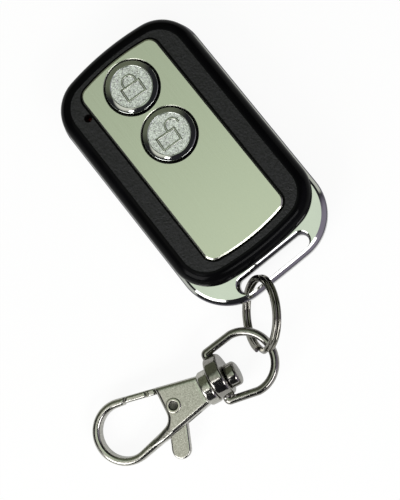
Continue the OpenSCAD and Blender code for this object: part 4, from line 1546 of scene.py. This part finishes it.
    def rivet(self) -> None:
        """Hinge rivet: two flat heads, with the punch's dimple in the front one."""
        half = self.body_t / 2
        out = half + self.pin_head_t
        path = [(0, -out, 0), (self.pin_head_r, -out, self.pin_back_round), (self.pin_head_r, -half, 0),
                (self.pin_r, -half, 0), (self.pin_r, half, 0), (self.pin_head_r, half, 0),
                (self.pin_head_r, out, self.pin_front_round), (self.pin_r, out, self.dimple_round),
                (self.dimple_r, out - self.dimple_d, self.dimple_foot), (0, out - self.dimple_middle, 0)]
        piece = lathe("hinge_rivet", soften(path), self.pin_steps)
        # The dimple's floor is coloured dark: painted shade.
        lay_finishes(piece, RIVET_NICKEL, (RIVET_HOLLOW_SHADE, lambda f: f.calc_center_median().z > 0
                                           and f.calc_center_median().xy.length < self.dimple_shade_r
                                           and f.normal.z > self.dimple_lean))
        settle(piece, self.place)
        hand_over(piece, "clasp", "rivet_nickel", RIVET_NICKEL, "gate_pin")

    def spring(self) -> None:
        """Coil spring in its pocket behind the lever, which presses it together as the gate opens.
        """
        wire = self.spring_wire / 2
        coil = Sweep("gate_coil", [Vector((x, 0, z))
                                   for x, z in circle_points((self.spring_r, 0), wire, self.wire_sides)])
        coil.turn(2 * math.pi * self.spring_turns, (0, 0, 0), (0, 0, 1), 0,
                  [self.spring_pitch / self.coil_steps] * (self.coil_steps * self.spring_turns))
        piece = coil.close()
        seat = Vector((self.spring_seat - wire - self.fit, self.spring_y, 0))
        settle(piece, self.place @ Matrix.Translation(seat) @ Matrix.Rotation(-math.pi / 2, 4, "Y"))
        hand_over(piece, "clasp", "spring_steel", SPRING_STEEL, "gate_spring", crease=60)
        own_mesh(piece)


@dataclass(frozen=True)
class Electronics:
    """The CAD pieces inside the case, which keep their shape and get a finish."""

    finishes: dict[str, Finish] = field(default_factory=lambda: {
        "plate_adhesive": FILM, "lock_switch": SWITCH_NYLON, "unlock_switch": SWITCH_NYLON,
        "lock_plunger": PLUNGER_ACETAL, "unlock_plunger": PLUNGER_ACETAL, "circuit_board": BOARD,
        "status_led": LAMP_EPOXY, "encoder_chip": CHIP_EPOXY, "saw_resonator": CAN_NICKEL,
        "rf_transistor": CHIP_EPOXY, "chip_components": CERAMIC, "antenna_loop": AERIAL_COPPER,
        "coin_cell": CELL_STEEL, "battery_clip": CONTACT_NICKEL, "battery_contact": CONTACT_NICKEL})

    def dress(self) -> None:
        """Gives each CAD node its finish."""
        for node, finish in self.finishes.items():
            materials = frame["nodes"][node].data.materials
            materials.clear()
            materials.append(finish.material())
            log.info("%s gets %s", node, finish.name)


@dataclass(frozen=True)
class WallArea:
    """Soft-edged area of the studio's walls: direction, angles of its edge in degrees, and light."""

    axis: tuple[float, float, float]
    inner: float
    outer: float
    colour: tuple[float, float, float]


@dataclass(frozen=True)
class Panel:
    """Soft lamp: place, width and length in metres, and how bright its face is, where 1 is white."""

    name: str
    place: tuple[float, float, float]
    size: Point
    radiance: float

    def build(self, aim: Sequence[float]) -> None:
        """Hangs the lamp so that it faces a point.

        Args:
            aim: The point, in metres.
        """
        lamp = add_object(self.name, bpy.ops.object.light_add, type="AREA", location=self.place)
        lamp.data.shape = "RECTANGLE"
        lamp.data.size, lamp.data.size_y = self.size
        lamp.data.energy = self.radiance * math.pi * self.size[0] * self.size[1]
        lamp.rotation_mode = "QUATERNION"
        lamp.rotation_quaternion = (Vector(self.place) - Vector(aim)).to_track_quat("Z", "Y")


@dataclass(frozen=True)
class Studio:
    """Camera, floor, lamps and surroundings, in metres."""

    # Camera at the photograph's viewing angle
    eye: tuple[float, float, float] = (0.00979, -0.058815, 0.263263)
    right: tuple[float, float, float] = (0.77428, -0.61291, -0.15756)
    up: tuple[float, float, float] = (0.62822, 0.77445, 0.0746)
    lens: float = 91.94
    sensor: float = 36.0
    clip: Point = (0.01, 10.0)
    # Floor: paper that glows by itself where the camera, or in part a mirroring surface, sees it
    floor_size: float = 6.0
    paper: str = "#f4f4f2"
    paper_roughness: float = 0.9
    glow: float = 1.07
    glow_share: float = 0.86
    mirrored_share: float = 0.45
    # Walls, later areas over earlier ones, and lamps
    dark: tuple[float, float, float] = (0.02, 0.02, 0.023)
    areas: tuple[WallArea, ...] = (
        WallArea((0.0, 0.0, -1.0), 60.0, 75.0, (0.16, 0.15, 0.18)),
        WallArea((0.55, -0.8, 0.25), 28.0, 50.0, (0.3, 0.27, 0.35)),
        WallArea((0.99, 0.1, 0.08), 9.0, 15.0, (0.66, 0.68, 0.62)),
        WallArea((-0.99, 0.1, 0.08), 9.0, 15.0, (0.66, 0.68, 0.64)),
        WallArea((0.0, 0.85, 0.5), 22.0, 50.0, (0.15, 0.165, 0.115)),
        WallArea((-0.38, 0.08, 0.92), 8.0, 18.0, (0.8, 0.8, 0.72)),
        WallArea((-0.02, 0.2, 0.98), 9.0, 23.0, (0.6, 0.69, 0.56)),
        WallArea((-0.02, 0.0, 1.0), 8.0, 15.0, (0.92, 1.04, 0.86)),
    )
    lamps: tuple[Panel, ...] = (
        Panel("strip_low", (0.04, -0.52, 0.46), (0.36, 0.18), 5.0),
        Panel("softbox_left", (-0.57, -0.24, 0.4), (0.42, 0.42), 4.2),
        Panel("spot_over", (-0.3, -0.13, 0.63), (0.08, 0.08), 4.0),
    )
    aim: tuple[float, float, float] = (-0.015, -0.01, 0.0)

    def build(self) -> None:
        """Sets up everything that isn't part of the object."""
        bpy.context.scene.view_settings.view_transform = "Standard"
        self.camera()
        self.floor()
        self.surroundings()
        for lamp in self.lamps:
            lamp.build(self.aim)

    def camera(self) -> None:
        """Adds the camera at the photograph's viewing angle."""
        camera = add_object("photo_camera", bpy.ops.object.camera_add, location=self.eye)
        right, up = Vector(self.right).normalized(), Vector(self.up).normalized()
        turn = Matrix((right, up, right.cross(up))).transposed().to_4x4()
        camera.matrix_world = Matrix.Translation(self.eye) @ turn
        camera.data.sensor_fit = "VERTICAL"
        camera.data.sensor_height = self.sensor
        camera.data.lens = self.lens
        camera.data.clip_start, camera.data.clip_end = self.clip
        bpy.context.scene.camera = camera

    def floor(self) -> None:
        """Lays a plain pale floor that shows white and keeps a soft shadow."""
        floor = add_object("studio_floor", bpy.ops.mesh.primitive_plane_add, size=self.floor_size)
        material = bpy.data.materials.new("paper_floor_white")
        material.use_nodes = True
        tree = material.node_tree
        shader = tree.nodes["Principled BSDF"]
        shader.inputs["Base Color"].default_value = linear(self.paper)
        shader.inputs["Roughness"].default_value = self.paper_roughness
        glow = add_node(tree, "ShaderNodeEmission", {"Color": linear("#ffffff"), "Strength": self.glow})
        share = add_node(tree, "ShaderNodeMath",
                         {0: self.seen(tree), 1: self.glow_share}, operation="MULTIPLY")
        mix = add_node(tree, "ShaderNodeMixShader",
                       {0: share.outputs[0], 1: shader.outputs[0], 2: glow.outputs[0]})
        tree.links.new(mix.outputs[0], tree.nodes["Material Output"].inputs["Surface"])
        floor.data.materials.append(material)

    def seen(self, tree: bpy.types.NodeTree) -> bpy.types.NodeSocket:
        """Adds the test for rays that show the floor.

        Args:
            tree: Node tree of the floor.

        Returns:
            Socket that is 1 for camera and transmission rays, and less for glossy ones, which see
            the shadows too.
        """
        path = add_node(tree, "ShaderNodeLightPath")
        mirrored = add_node(tree, "ShaderNodeMath",
                            {0: path.outputs["Is Glossy Ray"], 1: self.mirrored_share}, operation="MULTIPLY")
        pair = add_node(tree, "ShaderNodeMath",
                        {0: path.outputs["Is Camera Ray"], 1: mirrored.outputs[0]}, operation="MAXIMUM")
        either = add_node(tree, "ShaderNodeMath",
                          {0: pair.outputs[0], 1: path.outputs["Is Transmission Ray"]}, operation="MAXIMUM")
        return either.outputs[0]

    def surroundings(self) -> None:
        """Sets a dim room with soft-edged lit areas on its walls and ceiling."""
        world = bpy.data.worlds.new("studio")
        bpy.context.scene.world = world
        world.use_nodes = True
        tree = world.node_tree
        direction = add_node(tree, "ShaderNodeTexCoord").outputs["Generated"]
        colour: Any = (*self.dark, 1.0)
        for area in self.areas:
            axis = Vector(area.axis).normalized()
            toward = add_node(tree, "ShaderNodeVectorMath", {0: direction, 1: axis}, operation="DOT_PRODUCT")
            rim, core = (math.cos(math.radians(angle)) for angle in (area.outer, area.inner))
            share = add_node(tree, "ShaderNodeMapRange", interpolation_type="SMOOTHSTEP", inputs={
                "Value": toward.outputs["Value"], "From Min": rim, "From Max": core})
            mix = add_node(tree, "ShaderNodeMix", data_type="RGBA", inputs={
                0: share.outputs[0], 6: colour, 7: (*area.colour, 1.0)})
            colour = mix.outputs[2]
        tree.links.new(colour, tree.nodes["Background"].inputs["Color"])


def main() -> None:
    """Builds the fob piece by piece, dresses it and sets up the studio."""
    logging.basicConfig(level=logging.INFO, format="%(name)s: %(message)s")
    Casing().build()
    PushButton("lock_button", Shackle.SHUT).build()
    PushButton("unlock_button", Shackle.OPEN).build()
    KeyLoop().build()
    SwivelClasp().build()
    Electronics().dress()
    Studio().build()
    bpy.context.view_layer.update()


if __name__ == "__main__":
    main()
